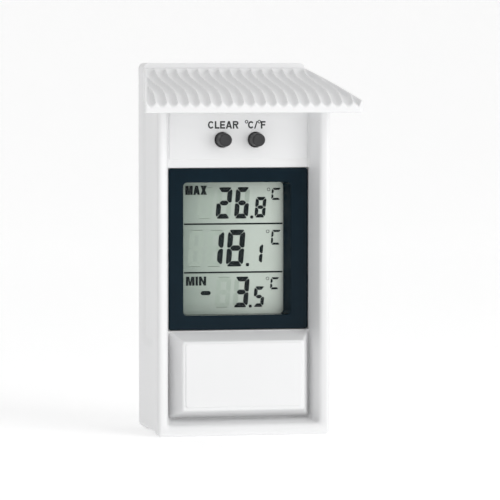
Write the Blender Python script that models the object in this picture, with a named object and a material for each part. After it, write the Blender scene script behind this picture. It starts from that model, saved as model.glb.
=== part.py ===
"""Digital maximum-minimum thermometer for outdoor walls: a deep tray housing under a corrugated roof.

The origin is at the middle of the base. +Z is up, the display faces -Y and the wall is at +Y.
Sizes are in millimetres and the meshes are made in metres.
"""

import math

import bmesh
import bpy
from mathutils import Vector

MM = 0.001

# Driving dimensions
HEIGHT = 132.0
DEPTH = 60.0
FRONT_WIDTH = 62.6
REAR_WIDTH = 59.7
WALL = 2.0
GAP = 0.3

# Depth levels, front is negative
BACK_Y = DEPTH / 2
ROOF_FRONT_Y = -DEPTH / 2
SEAM_Y = BACK_Y - 10.7
RIM_Y = BACK_Y - 44.0
FLOOR_Y = RIM_Y + 9.8
FLOOR_THICKNESS = 3.0
FLOOR_BACK_Y = FLOOR_Y + FLOOR_THICKNESS
FRONT_BACK_Y = SEAM_Y - GAP

# Roof
RIB_PITCH = 3.92
ROOF_RIBS = 20
ROOF_FRONT_HALF = RIB_PITCH * ROOF_RIBS / 2
ROOF_BACK_HALF = REAR_WIDTH / 2
ROOF_THICKNESS = 3.9
ROOF_BACK_Z = 130.0
ROOF_SLOPE = 0.2
ROOF_CURVE = 0.0007
RIB_DEPTH = 1.5
RIB_SINK = 0.12
RIB_SAMPLES = 4
RIB_SWAY = 0.85
RIB_SWAY_LENGTH = 38.5
RIB_SWAY_PEAK_Y = -14.2
RIB_SWAY_MIDDLE = 1.02
ROOF_BORDER = 1.0
ROOF_ROWS = 14
SHOULDER_Z = 118.5
TONGUE_X = (13.0, 19.0)
TONGUE_Y = (4.0, 6.0)
TONGUE_LENGTH = 6.0

# Front housing
FRONT_HALF = FRONT_WIDTH / 2
RIM_CORNER = 1.6
BODY_CORNER = 2.4
BODY_INSET = 0.25
BODY_RAISE = 0.7
FLANGE_Y = (RIM_Y + 4.0, RIM_Y + 9.5)
EDGE_RADIUS = 1.4
RECESS_RIM = (27.8, 3.7, 116.4)
RECESS_FLOOR = (25.6, 5.5, 115.2)
RECESS_CORNER = 1.2
FRONT_WALL = 2.6
SIDE_PANEL_Y = (-2.5, 12.0)
SIDE_PANEL_Z = (31.6, 115.0)
SIDE_PANEL_DEPTH = 0.6
BUTTON_PANEL = (25.2, 97.8, 115.6)
BUTTON_PANEL_RISE = 0.3

# Display
BEZEL_HALF = 25.3
BEZEL_Z = (37.1, 94.6)
BEZEL_THICKNESS = 1.6
BEZEL_CHAMFER = 0.5
BEZEL_CORNER = 0.8
WINDOW_X = (-20.1, 19.2)
WINDOW_Z = (42.2, 89.6)
WINDOW_RADIUS = 1.4
FUNNEL_DEPTH = 5.2
FUNNEL_TAPER = (1.1, 1.7, 0.2)
FUNNEL_WALL = 1.0
PANE_THICKNESS = 1.0
LCD_HALF = 22.5
LCD_Z = (38.8, 92.8)
LCD_THICKNESS = 2.8
ZEBRA_THICKNESS = 2.8
ZEBRA_HEIGHT = 2.2
ZEBRA_HALF = 20.0
FRAME_MARGIN = 0.3
FRAME_WALL = 1.4

FUNNEL_BACK_Y = FLOOR_Y + FUNNEL_DEPTH
PANE_Y = FUNNEL_BACK_Y + GAP
LCD_Y = PANE_Y + PANE_THICKNESS + GAP
ZEBRA_Y = LCD_Y + LCD_THICKNESS + GAP
BOARD_Y = ZEBRA_Y + ZEBRA_THICKNESS + GAP

# Circuit board
BOARD_HALF = 25.5
BOARD_Z = (26.0, 110.0)
BOARD_THICKNESS = 1.2
BOARD_BACK_Y = BOARD_Y + BOARD_THICKNESS
BOARD_SCREW_X = 22.0
BOARD_SCREW_Z = (29.8, 98.5)
BOARD_BOSS_RADIUS = 2.2
BOARD_HOLE_RADIUS = 1.3
CHIP_Z = 68.0
CRYSTAL_PLACE = (-16.0, 76.0)
CRYSTAL_RADIUS = 1.0
FILTER_PLACE = (14.0, 46.0)
CHIP_CAPACITORS = {"capacitor_left": (-12.0, 56.0), "capacitor_right": (12.0, 82.0)}
CHIP_CAPACITOR_SIZE = (3.2, 1.2, 1.8)
SENSOR_PLACE = (-14.0, 31.0)
SENSOR_STANDOFF = 5.0
SENSOR_LEG_SPACING = 1.2

# Buttons and their switches
BUTTON_X = {"clear": -5.95, "unit": 6.1}
BUTTON_Z = 104.75
BUTTON_FRONT_Y = FLOOR_Y - 6.3
CAP_RADIUS = 2.3
COLLAR_RADIUS = 2.45
COLLAR_FRONT_Y = FLOOR_Y - 0.9
FLANGE_RADIUS = 3.9
FLANGE_THICKNESS = 1.0
STEM_RADIUS = 1.5
BUTTON_TRAVEL = 1.0
SWITCH_SIDE = 6.0
SWITCH_DEPTH = 3.5
PLUNGER_RADIUS = 1.6
PLUNGER_LENGTH = 3.1
PLUNGER_REACH = 1.8

# Battery bay behind the cover
BAY_HALF = 24.6
BAY_Z = (9.8, 32.2)
BAY_DEPTH = 7.5
BAY_WALL = 1.5
BAY_FLOOR_Y = FLOOR_Y + BAY_DEPTH
BAY_BACK_Y = BAY_FLOOR_Y + BAY_WALL
CELL_RADIUS = 5.2
CELL_LENGTH = 43.5
CELL_NUB_RADIUS = 1.9
CELL_NUB_LENGTH = 1.0
CELL_Y = BAY_FLOOR_Y - GAP - CELL_RADIUS
CELL_Z = 21.0
CELL_START_X = -21.2
PLATE_THICKNESS = 0.4
PLATE_HALF_WIDTH = 4.5
PLATE_HALF_TAB = 2.0
TAB_BACK_Y = BAY_BACK_Y + 1.6
PLATE_FRONT_Y = FLOOR_Y + GAP
SPRING_RADII = (2.3, 1.4)
SPRING_WIRE = 0.25
SPRING_TURNS = 2.5

# Battery cover
COVER_BASE = (25.3, 5.9, 36.5)
COVER_FACE = (22.1, 9.0, 33.5)
COVER_BASE_Y = FLOOR_Y - GAP
COVER_FACE_Y = FLOOR_Y - 8.6
COVER_PAD = (21.0, 10.2, 32.9)
COVER_PAD_RISE = 0.3
COVER_CORNER = 0.8
COVER_WALL = 1.6
COVER_LIP_HALF = 20.0
COVER_LIP_DEPTH = 1.8
COVER_LIP_WALL = 1.2
COVER_LIP_WEB = 2.6

# Rear housing
REAR_HALF = REAR_WIDTH / 2
REAR_CORNER_RADIUS = 2.0
REAR_EDGE_RADIUS = 1.2
REAR_CAVITY_TOP = HEIGHT - 4.0
KEYHOLE_Z = 104.0
KEYHOLE_RADIUS = 4.0
KEYHOLE_SLOT_HALF = 2.0
KEYHOLE_SLOT_TOP = 112.0
KEYHOLE_POCKET_HALF = 5.5
KEYHOLE_POCKET_Z = (98.5, 113.5)
KEYHOLE_POCKET_DEPTH = 4.0
KEYHOLE_POCKET_WALL = 1.2
VENT_COUNT = 7
VENT_PITCH = 5.0
VENT_HALF = 1.0
VENT_Y = (21.5, 26.5)

# Screws that hold the two housings together
HOUSING_SCREWS = {
    "upper_left": (-24.0, 114.5),
    "upper_right": (24.0, 114.5),
    "lower_left": (-20.0, 15.0),
    "lower_right": (20.0, 15.0),
}
BOSS_RADIUS = 3.0
REAR_BOSS_RADIUS = 4.2
PILOT_RADIUS = 1.4
PILOT_DEPTH = 8.0
CLEARANCE_RADIUS = 1.7
COUNTERBORE_RADIUS = 3.1
COUNTERBORE_DEPTH = 6.5
HEAD_RADIUS = 2.7
HEAD_HEIGHT = 1.8
SHANK_RADIUS = 1.1
SHANK_LENGTH = 11.0
BOARD_HEAD_RADIUS = 2.0
BOARD_HEAD_HEIGHT = 1.3
BOARD_SHANK_RADIUS = 0.9
BOARD_SHANK_LENGTH = 5.5

ROUND = 24
SMALL_ROUND = 16
SENSOR_BEAD = ((0.5, -1.4), (1.2, -0.8), (1.4, 0.0), (1.2, 0.8), (0.5, 1.4))
SENSOR_SEGMENTS = 12
LEG_SEGMENTS = 8
CORNER_STEPS = 4


def clear_scene():
    for thing in list(bpy.data.objects):
        bpy.data.objects.remove(thing)


# Materials


def make_material(name, colour, roughness, metallic=0.0):
    material = bpy.data.materials.new(name)
    material.use_nodes = True
    shader = material.node_tree.nodes["Principled BSDF"]
    shader.inputs["Base Color"].default_value = (*colour, 1.0)
    shader.inputs["Roughness"].default_value = roughness
    shader.inputs["Metallic"].default_value = metallic
    material.diffuse_color = (*colour, 1.0)
    return material


def make_materials():
    return {
        "white": make_material("white_plastic", (0.88, 0.88, 0.88), 0.35),
        "black": make_material("gloss_black", (0.01, 0.012, 0.02), 0.12),
        "clear": make_material("clear_acrylic", (0.8, 0.85, 0.85), 0.05),
        "lcd": make_material("lcd_glass", (0.42, 0.46, 0.42), 0.3),
        "button": make_material("dark_rubber", (0.06, 0.06, 0.065), 0.6),
        "zebra": make_material("zebra_elastomer", (0.55, 0.3, 0.35), 0.7),
        "board": make_material("green_board", (0.03, 0.2, 0.08), 0.4),
        "epoxy": make_material("black_epoxy", (0.015, 0.015, 0.015), 0.3),
        "metal": make_material("nickel_plate", (0.7, 0.7, 0.68), 0.25, 1.0),
        "screw": make_material("zinc_screw", (0.6, 0.6, 0.6), 0.3, 1.0),
        "cell": make_material("cell_jacket", (0.12, 0.2, 0.4), 0.3),
        "ceramic": make_material("ceramic", (0.6, 0.35, 0.12), 0.5),
        "red": make_material("red_wire", (0.6, 0.02, 0.02), 0.4),
        "dark": make_material("black_wire", (0.02, 0.02, 0.02), 0.4),
    }


# Modelling helpers


def finish_mesh(name, bm, material=None):
    bmesh.ops.recalc_face_normals(bm, faces=bm.faces)
    mesh = bpy.data.meshes.new(name)
    bm.to_mesh(mesh)
    bm.free()
    thing = bpy.data.objects.new(name, mesh)
    bpy.context.scene.collection.objects.link(thing)
    if material is not None:
        mesh.materials.append(material)
    return thing


def smooth(thing, degrees=35.0):
    thing.data.shade_smooth()
    thing.data.set_sharp_from_angle(angle=math.radians(degrees))


def block(name, x, y, z, material=None):
    """A box between the two values of each range."""
    bm = bmesh.new()
    bmesh.ops.create_cube(bm, size=1.0)
    low = Vector((x[0], y[0], z[0])) * MM
    high = Vector((x[1], y[1], z[1])) * MM
    for vert in bm.verts:
        vert.co = Vector(high[i] if vert.co[i] > 0 else low[i] for i in range(3))
    return finish_mesh(name, bm, material)


def rounded_outline(x, z, radius, steps=CORNER_STEPS):
    """Points round a rectangle with round corners, as (x, z)."""
    corners = (
        (x[1] - radius, z[1] - radius, 0.0),
        (x[0] + radius, z[1] - radius, 90.0),
        (x[0] + radius, z[0] + radius, 180.0),
        (x[1] - radius, z[0] + radius, 270.0),
    )
    points = []
    for centre_x, centre_z, start in corners:
        for step in range(steps + 1):
            angle = math.radians(start + 90.0 * step / steps)
            points.append((centre_x + radius * math.cos(angle), centre_z + radius * math.sin(angle)))
    return points


def loft(name, sections, material=None):
    """A solid through outlines of equal point counts, each given as (y, points)."""
    bm = bmesh.new()
    rings = [[bm.verts.new((px * MM, y * MM, pz * MM)) for px, pz in points] for y, points in sections]
    for first, second in zip(rings, rings[1:]):
        for i in range(len(first)):
            j = (i + 1) % len(first)
            bm.faces.new((first[i], first[j], second[j], second[i]))
    bm.faces.new(rings[0])
    bm.faces.new(rings[-1])
    return finish_mesh(name, bm, material)


def frustum(name, front, front_y, base, base_y, radius, material=None):
    """A block whose front and base are rounded rectangles, each given as (half width, low z, high z)."""
    sections = []
    for (half, low, high), y in ((front, front_y), (base, base_y)):
        sections.append((y, rounded_outline((-half, half), (low, high), radius)))
    return loft(name, sections, material)


def side_prism(name, outline, half, material=None):
    """A prism along X, between -half and half, from (y, z) points."""
    bm = bmesh.new()
    left = [bm.verts.new((-half * MM, y * MM, z * MM)) for y, z in outline]
    right = [bm.verts.new((half * MM, y * MM, z * MM)) for y, z in outline]
    for i in range(len(outline)):
        j = (i + 1) % len(outline)
        bm.faces.new((left[i], left[j], right[j], right[i]))
    bm.faces.new(left)
    bm.faces.new(right)
    return finish_mesh(name, bm, material)


def turned(name, profile, centre, axis="Y", material=None, segments=ROUND):
    """A solid of revolution. The profile is (radius, distance along the axis) from end to end."""
    turns = {"X": (1, 2, 0), "Y": (0, 2, 1), "Z": (0, 1, 2)}[axis]
    bm = bmesh.new()
    rings = []
    for radius, along in profile:
        ring = []
        for i in range(segments):
            angle = 2 * math.pi * i / segments
            place = [0.0, 0.0, 0.0]
            place[turns[0]] = radius * math.cos(angle)
            place[turns[1]] = radius * math.sin(angle)
            place[turns[2]] = along
            ring.append(bm.verts.new((Vector(place) + Vector(centre)) * MM))
        rings.append(ring)
    for first, second in zip(rings, rings[1:]):
        for i in range(segments):
            j = (i + 1) % segments
            bm.faces.new((first[i], first[j], second[j], second[i]))
    bm.faces.new(rings[0])
    bm.faces.new(rings[-1])
    thing = finish_mesh(name, bm, material)
    smooth(thing)
    return thing


def rod(name, radius, y, place, segments=SMALL_ROUND, material=None):
    """A plain cylinder along Y at (x, z)."""
    return turned(name, ((radius, y[0]), (radius, y[1])), (place[0], 0, place[1]), "Y", material, segments)


def wire(name, points, radius, material):
    """A round wire along a smooth curve through the points."""
    curve = bpy.data.curves.new(name, "CURVE")
    curve.dimensions = "3D"
    curve.bevel_depth = radius * MM
    curve.bevel_resolution = 2
    curve.use_fill_caps = True
    spline = curve.splines.new("POLY")
    spline.points.add(len(points) - 1)
    for point, place in zip(spline.points, points):
        point.co = (*(Vector(place) * MM), 1.0)
    curve.materials.append(material)
    thing = bpy.data.objects.new(name, curve)
    bpy.context.scene.collection.objects.link(thing)
    return thing


def through(points, steps):
    """Places on a Catmull-Rom curve through the points."""
    knots = [Vector(point) for point in points]
    knots = [knots[0] * 2 - knots[1], *knots, knots[-1] * 2 - knots[-2]]
    places = []
    for before, start, end, after in zip(knots, knots[1:], knots[2:], knots[3:]):
        for step in range(steps):
            t = step / steps
            places.append(
                0.5
                * (
                    2 * start
                    + (end - before) * t
                    + (2 * before - 5 * start + 4 * end - after) * t**2
                    + (3 * start - before - 3 * end + after) * t**3
                )
            )
    places.append(knots[-2])
    return places


def apply_boolean(target, tool, operation):
    modifier = target.modifiers.new(tool.name, "BOOLEAN")
    modifier.operation = operation
    modifier.solver = "EXACT"
    modifier.object = tool
    tool.hide_render = True
    tool.display_type = "WIRE"


def cut(target, tool):
    apply_boolean(target, tool, "DIFFERENCE")


def join(target, tool):
    apply_boolean(target, tool, "UNION")


def keep_inside(target, tool):
    apply_boolean(target, tool, "INTERSECT")


# Roof


def roof_top(y):
    """Height of the crests. The roof falls away to the front in a gentle arc."""
    out = FRONT_BACK_Y - y
    return ROOF_BACK_Z - ROOF_SLOPE * out - ROOF_CURVE * out * out


def roof_bottom(y):
    return roof_top(y) - ROOF_THICKNESS


def sway(y):
    """How far the crests stand to the side at a depth: the flutes wander from side to side."""
    return RIB_SWAY_MIDDLE + RIB_SWAY * math.cos(2 * math.pi * (y - RIB_SWAY_PEAK_Y) / RIB_SWAY_LENGTH)


def roof_outline(name, inset, beyond):
    """The hood's plan, which flares to the front, as a tall prism with its sides drawn in by the inset."""
    flare = (ROOF_FRONT_HALF - ROOF_BACK_HALF) / (FRONT_BACK_Y - ROOF_FRONT_Y)
    back, front = FRONT_BACK_Y + beyond, ROOF_FRONT_Y - beyond
    back_half = ROOF_BACK_HALF - flare * beyond - inset
    front_half = ROOF_FRONT_HALF + flare * beyond - inset
    corners = ((-back_half, back), (back_half, back), (front_half, front), (-front_half, front))
    bm = bmesh.new()
    low = [bm.verts.new((x * MM, y * MM, WALL * MM)) for x, y in corners]
    high = [bm.verts.new((x * MM, y * MM, (HEIGHT + WALL) * MM)) for x, y in corners]
    for i in range(len(corners)):
        j = (i + 1) % len(corners)
        bm.faces.new((low[i], low[j], high[j], high[i]))
    bm.faces.new(low)
    bm.faces.new(high)
    return finish_mesh(name, bm)


def sheet(name, columns, half, beyond, shape_at, flat_at, material=None):
    """A slab over a grid: one side follows shape_at(x, y), whose columns sway, and the other flat_at(y)."""
    run = FRONT_BACK_Y - ROOF_FRONT_Y + 2 * beyond
    stations = [FRONT_BACK_Y + beyond - run * row / (ROOF_ROWS - 1) for row in range(ROOF_ROWS)]
    bm = bmesh.new()
    shaped, flat = [], []
    for y in stations:
        across = [-half + 2 * half * column / columns for column in range(columns + 1)]
        shaped.append([bm.verts.new(((x + sway(y)) * MM, y * MM, shape_at(x, y) * MM)) for x in across])
        flat.append([bm.verts.new(((x + sway(y)) * MM, y * MM, flat_at(y) * MM)) for x in (-half, half)])
    for row in range(len(stations) - 1):
        for column in range(columns):
            strip = (shaped[row][column], shaped[row][column + 1])
            bm.faces.new((*strip, shaped[row + 1][column + 1], shaped[row + 1][column]))
        bm.faces.new((flat[row][0], flat[row + 1][0], flat[row + 1][1], flat[row][1]))
        bm.faces.new((shaped[row][0], shaped[row + 1][0], flat[row + 1][0], flat[row][0]))
        bm.faces.new((shaped[row][-1], flat[row][1], flat[row + 1][1], shaped[row + 1][-1]))
    bm.faces.new((*shaped[0], flat[0][1], flat[0][0]))
    bm.faces.new((*reversed(shaped[-1]), flat[-1][0], flat[-1][1]))
    return finish_mesh(name, bm, material)


def flute_bottom(x, y):
    """Round flutes between narrow crests, which lie just below the plain border."""
    return roof_top(y) - RIB_SINK - (RIB_DEPTH - RIB_SINK) * abs(math.sin(math.pi * x / RIB_PITCH))


def make_roof(material):
    """A fluted hood. Its flutes run front to back, and a plain border closes its two sides."""
    half = ROOF_FRONT_HALF + RIB_PITCH
    roof = sheet("roof", 1, half, GAP, lambda x, y: roof_top(y), roof_bottom, material)
    keep_inside(roof, roof_outline("roof_plan", 0.0, 0.0))
    columns = (ROOF_RIBS + 2) * RIB_SAMPLES
    flutes = sheet("flutes", columns, half, WALL, flute_bottom, lambda y: roof_top(y) + WALL)
    keep_inside(flutes, roof_outline("flute_plan", ROOF_BORDER, 1.0))
    cut(roof, flutes)
    for side in (-1, 1):
        span = sorted(side * x for x in TONGUE_X)
        low_z = roof_bottom(TONGUE_Y[1]) - TONGUE_LENGTH
        high_z = roof_bottom(TONGUE_Y[1]) + ROOF_THICKNESS / 3
        join(roof, block(f"tongue_{side}", span, TONGUE_Y, (low_z, high_z)))
    return roof


# Front housing


def ring_sections(half, low, high, radius, edge, front_y, back_y):
    """Sections of a rounded box whose front edge is rounded by the edge radius."""
    sections = []
    for degrees in (0.0, 30.0, 60.0, 90.0):
        angle = math.radians(degrees)
        inset = edge * (1 - math.sin(angle))
        y = front_y + edge * (1 - math.cos(angle))
        corner = max(radius - inset, 0.4)
        across = (-half + inset, half - inset)
        sections.append((y, rounded_outline(across, (low + inset, high - inset), corner)))
    sections.append((back_y, rounded_outline((-half, half), (low, high), radius)))
    return sections


def roof_line_cutter(name, drop, half, front_y, back_y):
    """Everything above the line that runs below the roof's underside."""
    steps = 8
    line = [front_y + (back_y - front_y) * i / steps for i in range(steps + 1)]
    outline = [(y, roof_bottom(y) - drop) for y in line]
    outline += [(back_y, HEIGHT + 10.0), (front_y, HEIGHT + 10.0)]
    return side_prism(name, outline, half)


def cavity_outline():
    """The hollow behind the recess floor, open at the back and following the roof above."""
    back_y = FRONT_BACK_Y + 1.0
    steps = 4
    line = [FLOOR_BACK_Y + (back_y - FLOOR_BACK_Y) * i / steps for i in range(steps + 1)]
    top = [(y, roof_bottom(min(y, FRONT_BACK_Y)) - GAP - WALL) for y in line]
    low = BODY_RAISE + WALL
    return [(FLOOR_BACK_Y, low), *top, (back_y, low)]


def add_bay(housing):
    """The battery bay: a box behind the floor, open to the front, with a slot for each contact's tab."""
    outer = block(
        "bay_walls",
        (-BAY_HALF - BAY_WALL, BAY_HALF + BAY_WALL),
        (FLOOR_BACK_Y - 1.0, BAY_BACK_Y),
        (BAY_Z[0] - BAY_WALL, BAY_Z[1] + BAY_WALL),
    )
    join(housing, outer)
    for side in (-1, 1):
        reach = (BAY_BACK_Y - 1.0, BOARD_Y - GAP)
        place = (side * BOARD_SCREW_X, BOARD_SCREW_Z[0])
        join(housing, rod(f"bay_boss_{side}", BOARD_BOSS_RADIUS, reach, place))
    cut(housing, block("bay_hollow", (-BAY_HALF, BAY_HALF), (FLOOR_Y - 5.0, BAY_FLOOR_Y), BAY_Z))
    for side in (-1, 1):
        middle = side * (BAY_HALF - GAP - PLATE_THICKNESS / 2)
        slot_x = (middle - PLATE_THICKNESS, middle + PLATE_THICKNESS)
        slot_z = (CELL_Z - PLATE_HALF_TAB - GAP, CELL_Z + PLATE_HALF_TAB + GAP)
        cut(housing, block(f"tab_slot_{side}", slot_x, (BAY_FLOOR_Y - 1.0, BAY_BACK_Y + 1.0), slot_z))


def body_outline(share):
    """The front housing's outline, between the proud rim at 0 and the body behind it at 1."""
    half = FRONT_HALF - BODY_INSET * share
    corner = RIM_CORNER + (BODY_CORNER - RIM_CORNER) * share
    return rounded_outline((-half, half), (BODY_RAISE * share, HEIGHT), corner)


def make_front_housing(material):
    sections = ring_sections(FRONT_HALF, 0.0, HEIGHT, RIM_CORNER, EDGE_RADIUS, RIM_Y, FLANGE_Y[0])
    sections.append((sum(FLANGE_Y) / 2, body_outline(0.5)))
    sections.append((FLANGE_Y[1], body_outline(1.0)))
    sections.append((FRONT_BACK_Y, body_outline(1.0)))
    housing = loft("front_housing", sections, material)
    cut(housing, roof_line_cutter("under_roof", GAP, FRONT_HALF + 5.0, RIM_Y - 5.0, FRONT_BACK_Y + 5.0))
    slope = [(rim - floor) / (FLOOR_Y - RIM_Y) for rim, floor in zip(RECESS_RIM, RECESS_FLOOR)]
    mouth = [rim + rate * 2.0 for rim, rate in zip(RECESS_RIM, slope)]
    cut(housing, frustum("recess", mouth, RIM_Y - 2.0, RECESS_FLOOR, FLOOR_Y, RECESS_CORNER))
    cut(housing, side_prism("housing_hollow", cavity_outline(), FRONT_HALF - FRONT_WALL))
    add_bay(housing)
    half, low, high = BUTTON_PANEL
    panel_y = (FLOOR_Y - BUTTON_PANEL_RISE, FLOOR_Y + 1.0)
    join(housing, block("button_panel", (-half, half), panel_y, (low, high)))
    pocket_x = (-BEZEL_HALF - GAP, BEZEL_HALF + GAP)
    pocket_z = (BEZEL_Z[0] - GAP, BEZEL_Z[1] + GAP)
    pocket_y = (FLOOR_Y - 2.0, FLOOR_Y + BEZEL_THICKNESS + GAP)
    cut(housing, block("bezel_pocket", pocket_x, pocket_y, pocket_z))
    hole_x = (WINDOW_X[0] - FUNNEL_WALL - GAP, WINDOW_X[1] + FUNNEL_WALL + GAP)
    hole_z = (WINDOW_Z[0] - FUNNEL_WALL - GAP, WINDOW_Z[1] + FUNNEL_WALL + GAP)
    cut(housing, block("display_opening", hole_x, (FLOOR_Y - 1.0, FLOOR_BACK_Y + 1.0), hole_z))
    for name, x in BUTTON_X.items():
        reach = (FLOOR_Y - 3.0, FLOOR_BACK_Y + 1.0)
        cut(housing, rod(f"button_hole_{name}", COLLAR_RADIUS + GAP, reach, (x, BUTTON_Z), ROUND))
    for side in (-1, 1):
        reach = (FLOOR_BACK_Y - 1.0, BOARD_Y - GAP)
        place = (side * BOARD_SCREW_X, BOARD_SCREW_Z[1])
        join(housing, rod(f"board_boss_{side}", BOARD_BOSS_RADIUS, reach, place))
        surface = FRONT_HALF - BODY_INSET
        span = sorted((side * (surface - SIDE_PANEL_DEPTH), side * (surface + 5.0)))
        cut(housing, block(f"side_panel_{side}", span, SIDE_PANEL_Y, SIDE_PANEL_Z))
        span = sorted((side * ROOF_BACK_HALF, side * (surface + 5.0)))
        shoulder_y = (RIM_Y - 1.0, FRONT_BACK_Y + 1.0)
        cut(housing, block(f"shoulder_{side}", span, shoulder_y, (SHOULDER_Z, HEIGHT + 1.0)))
    for name, place in HOUSING_SCREWS.items():
        start = FLOOR_BACK_Y if name.startswith("upper") else BAY_BACK_Y
        join(housing, rod(f"front_boss_{name}", BOSS_RADIUS, (start - 1.0, FRONT_BACK_Y), place))
    for name, place in HOUSING_SCREWS.items():
        reach = (FRONT_BACK_Y - PILOT_DEPTH, FRONT_BACK_Y + 1.0)
        cut(housing, rod(f"front_pilot_{name}", PILOT_RADIUS, reach, place))
    for side in (-1, 1):
        for z in BOARD_SCREW_Z:
            reach = (BOARD_Y - GAP - BOARD_SHANK_LENGTH, BOARD_Y + 1.0)
            pilot_radius = BOARD_SHANK_RADIUS + GAP
            cut(housing, rod(f"board_pilot_{side}_{z}", pilot_radius, reach, (side * BOARD_SCREW_X, z)))
        span = sorted((side * (TONGUE_X[0] - GAP), side * (TONGUE_X[1] + GAP)))
        slot_y = (TONGUE_Y[0] - GAP, TONGUE_Y[1] + GAP)
        cut(housing, block(f"tongue_slot_{side}", span, slot_y, (115.0, HEIGHT)))
    return housing


# Rear housing


def keyhole_cutter():
    """A round hole for a screw head with a narrower slot above it."""
    outline = []
    join_angle = math.asin(KEYHOLE_SLOT_HALF / KEYHOLE_RADIUS)
    start = math.pi / 2 + join_angle
    sweep = 2 * math.pi - 2 * join_angle
    steps = 20
    for step in range(steps + 1):
        angle = start + sweep * step / steps
        outline.append((KEYHOLE_RADIUS * math.cos(angle), KEYHOLE_Z + KEYHOLE_RADIUS * math.sin(angle)))
    arc_centre = KEYHOLE_SLOT_TOP - KEYHOLE_SLOT_HALF
    for step in range(9):
        angle = math.pi * step / 8
        z = arc_centre + KEYHOLE_SLOT_HALF * math.sin(angle)
        outline.append((KEYHOLE_SLOT_HALF * math.cos(angle), z))
    return loft("keyhole", [(BACK_Y - WALL - 1.0, outline), (BACK_Y + 1.0, outline)])


def make_rear_housing(material):
    sections = ring_sections(REAR_HALF, 0.0, HEIGHT, REAR_CORNER_RADIUS, REAR_EDGE_RADIUS, 0.0, DEPTH)
    turned_back = [(BACK_Y - y, points) for y, points in sections[:-1]]
    front = sections[-1][1]
    housing = loft("rear_housing", [*turned_back, (SEAM_Y, front)], material)
    hollow_x = (-REAR_HALF + WALL, REAR_HALF - WALL)
    cut(housing, block("rear_hollow", hollow_x, (SEAM_Y - 1.0, BACK_Y - WALL), (WALL, REAR_CAVITY_TOP)))
    for name, place in HOUSING_SCREWS.items():
        join(housing, rod(f"rear_boss_{name}", REAR_BOSS_RADIUS, (SEAM_Y, BACK_Y - WALL / 2), place))
    for name, place in HOUSING_SCREWS.items():
        bore_y = (BACK_Y - COUNTERBORE_DEPTH, BACK_Y + 1.0)
        cut(housing, rod(f"counterbore_{name}", COUNTERBORE_RADIUS, bore_y, place, ROUND))
        cut(housing, rod(f"clearance_{name}", CLEARANCE_RADIUS, (SEAM_Y - 1.0, BACK_Y), place))
    half, depth, wall = KEYHOLE_POCKET_HALF, KEYHOLE_POCKET_DEPTH, KEYHOLE_POCKET_WALL
    inner_y = BACK_Y - WALL - depth
    outer_z = (KEYHOLE_POCKET_Z[0] - wall, KEYHOLE_POCKET_Z[1] + wall)
    pocket_y = (inner_y - wall, BACK_Y - WALL / 2)
    join(housing, block("pocket", (-half - wall, half + wall), pocket_y, outer_z))
    cut(housing, block("pocket_hollow", (-half, half), (inner_y, BACK_Y - WALL), KEYHOLE_POCKET_Z))
    cut(housing, keyhole_cutter())
    for index in range(VENT_COUNT):
        x = VENT_PITCH * (index - (VENT_COUNT - 1) / 2)
        cut(housing, block(f"vent_{index}", (x - VENT_HALF, x + VENT_HALF), VENT_Y, (-2.0, WALL + 1.0)))
    return housing


# Display


def make_bezel(material):
    """A glossy plate with a funnel that leads back to the display."""
    half = (-BEZEL_HALF, BEZEL_HALF)
    inset = BEZEL_CHAMFER
    face_z = (BEZEL_Z[0] + inset, BEZEL_Z[1] - inset)
    face = rounded_outline((half[0] + inset, half[1] - inset), face_z, BEZEL_CORNER)
    body = rounded_outline(half, BEZEL_Z, BEZEL_CORNER)
    plate_back = FLOOR_Y + BEZEL_THICKNESS
    bezel = loft("display_bezel", [(FLOOR_Y, face), (FLOOR_Y + inset, body), (plate_back, body)], material)
    skirt_x = (WINDOW_X[0] - FUNNEL_WALL, WINDOW_X[1] + FUNNEL_WALL)
    skirt_z = (WINDOW_Z[0] - FUNNEL_WALL, WINDOW_Z[1] + FUNNEL_WALL)
    join(bezel, block("funnel", skirt_x, (plate_back - 0.5, FUNNEL_BACK_Y), skirt_z))
    sections = []
    for y in (FLOOR_Y - 1.0, FUNNEL_BACK_Y + 1.0):
        left, right, end = (taper * (y - FLOOR_Y) / FUNNEL_DEPTH for taper in FUNNEL_TAPER)
        across = (WINDOW_X[0] + left, WINDOW_X[1] - right)
        up = (WINDOW_Z[0] + end, WINDOW_Z[1] - end)
        sections.append((y, rounded_outline(across, up, WINDOW_RADIUS)))
    cut(bezel, loft("funnel_opening", sections))
    return bezel


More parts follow.
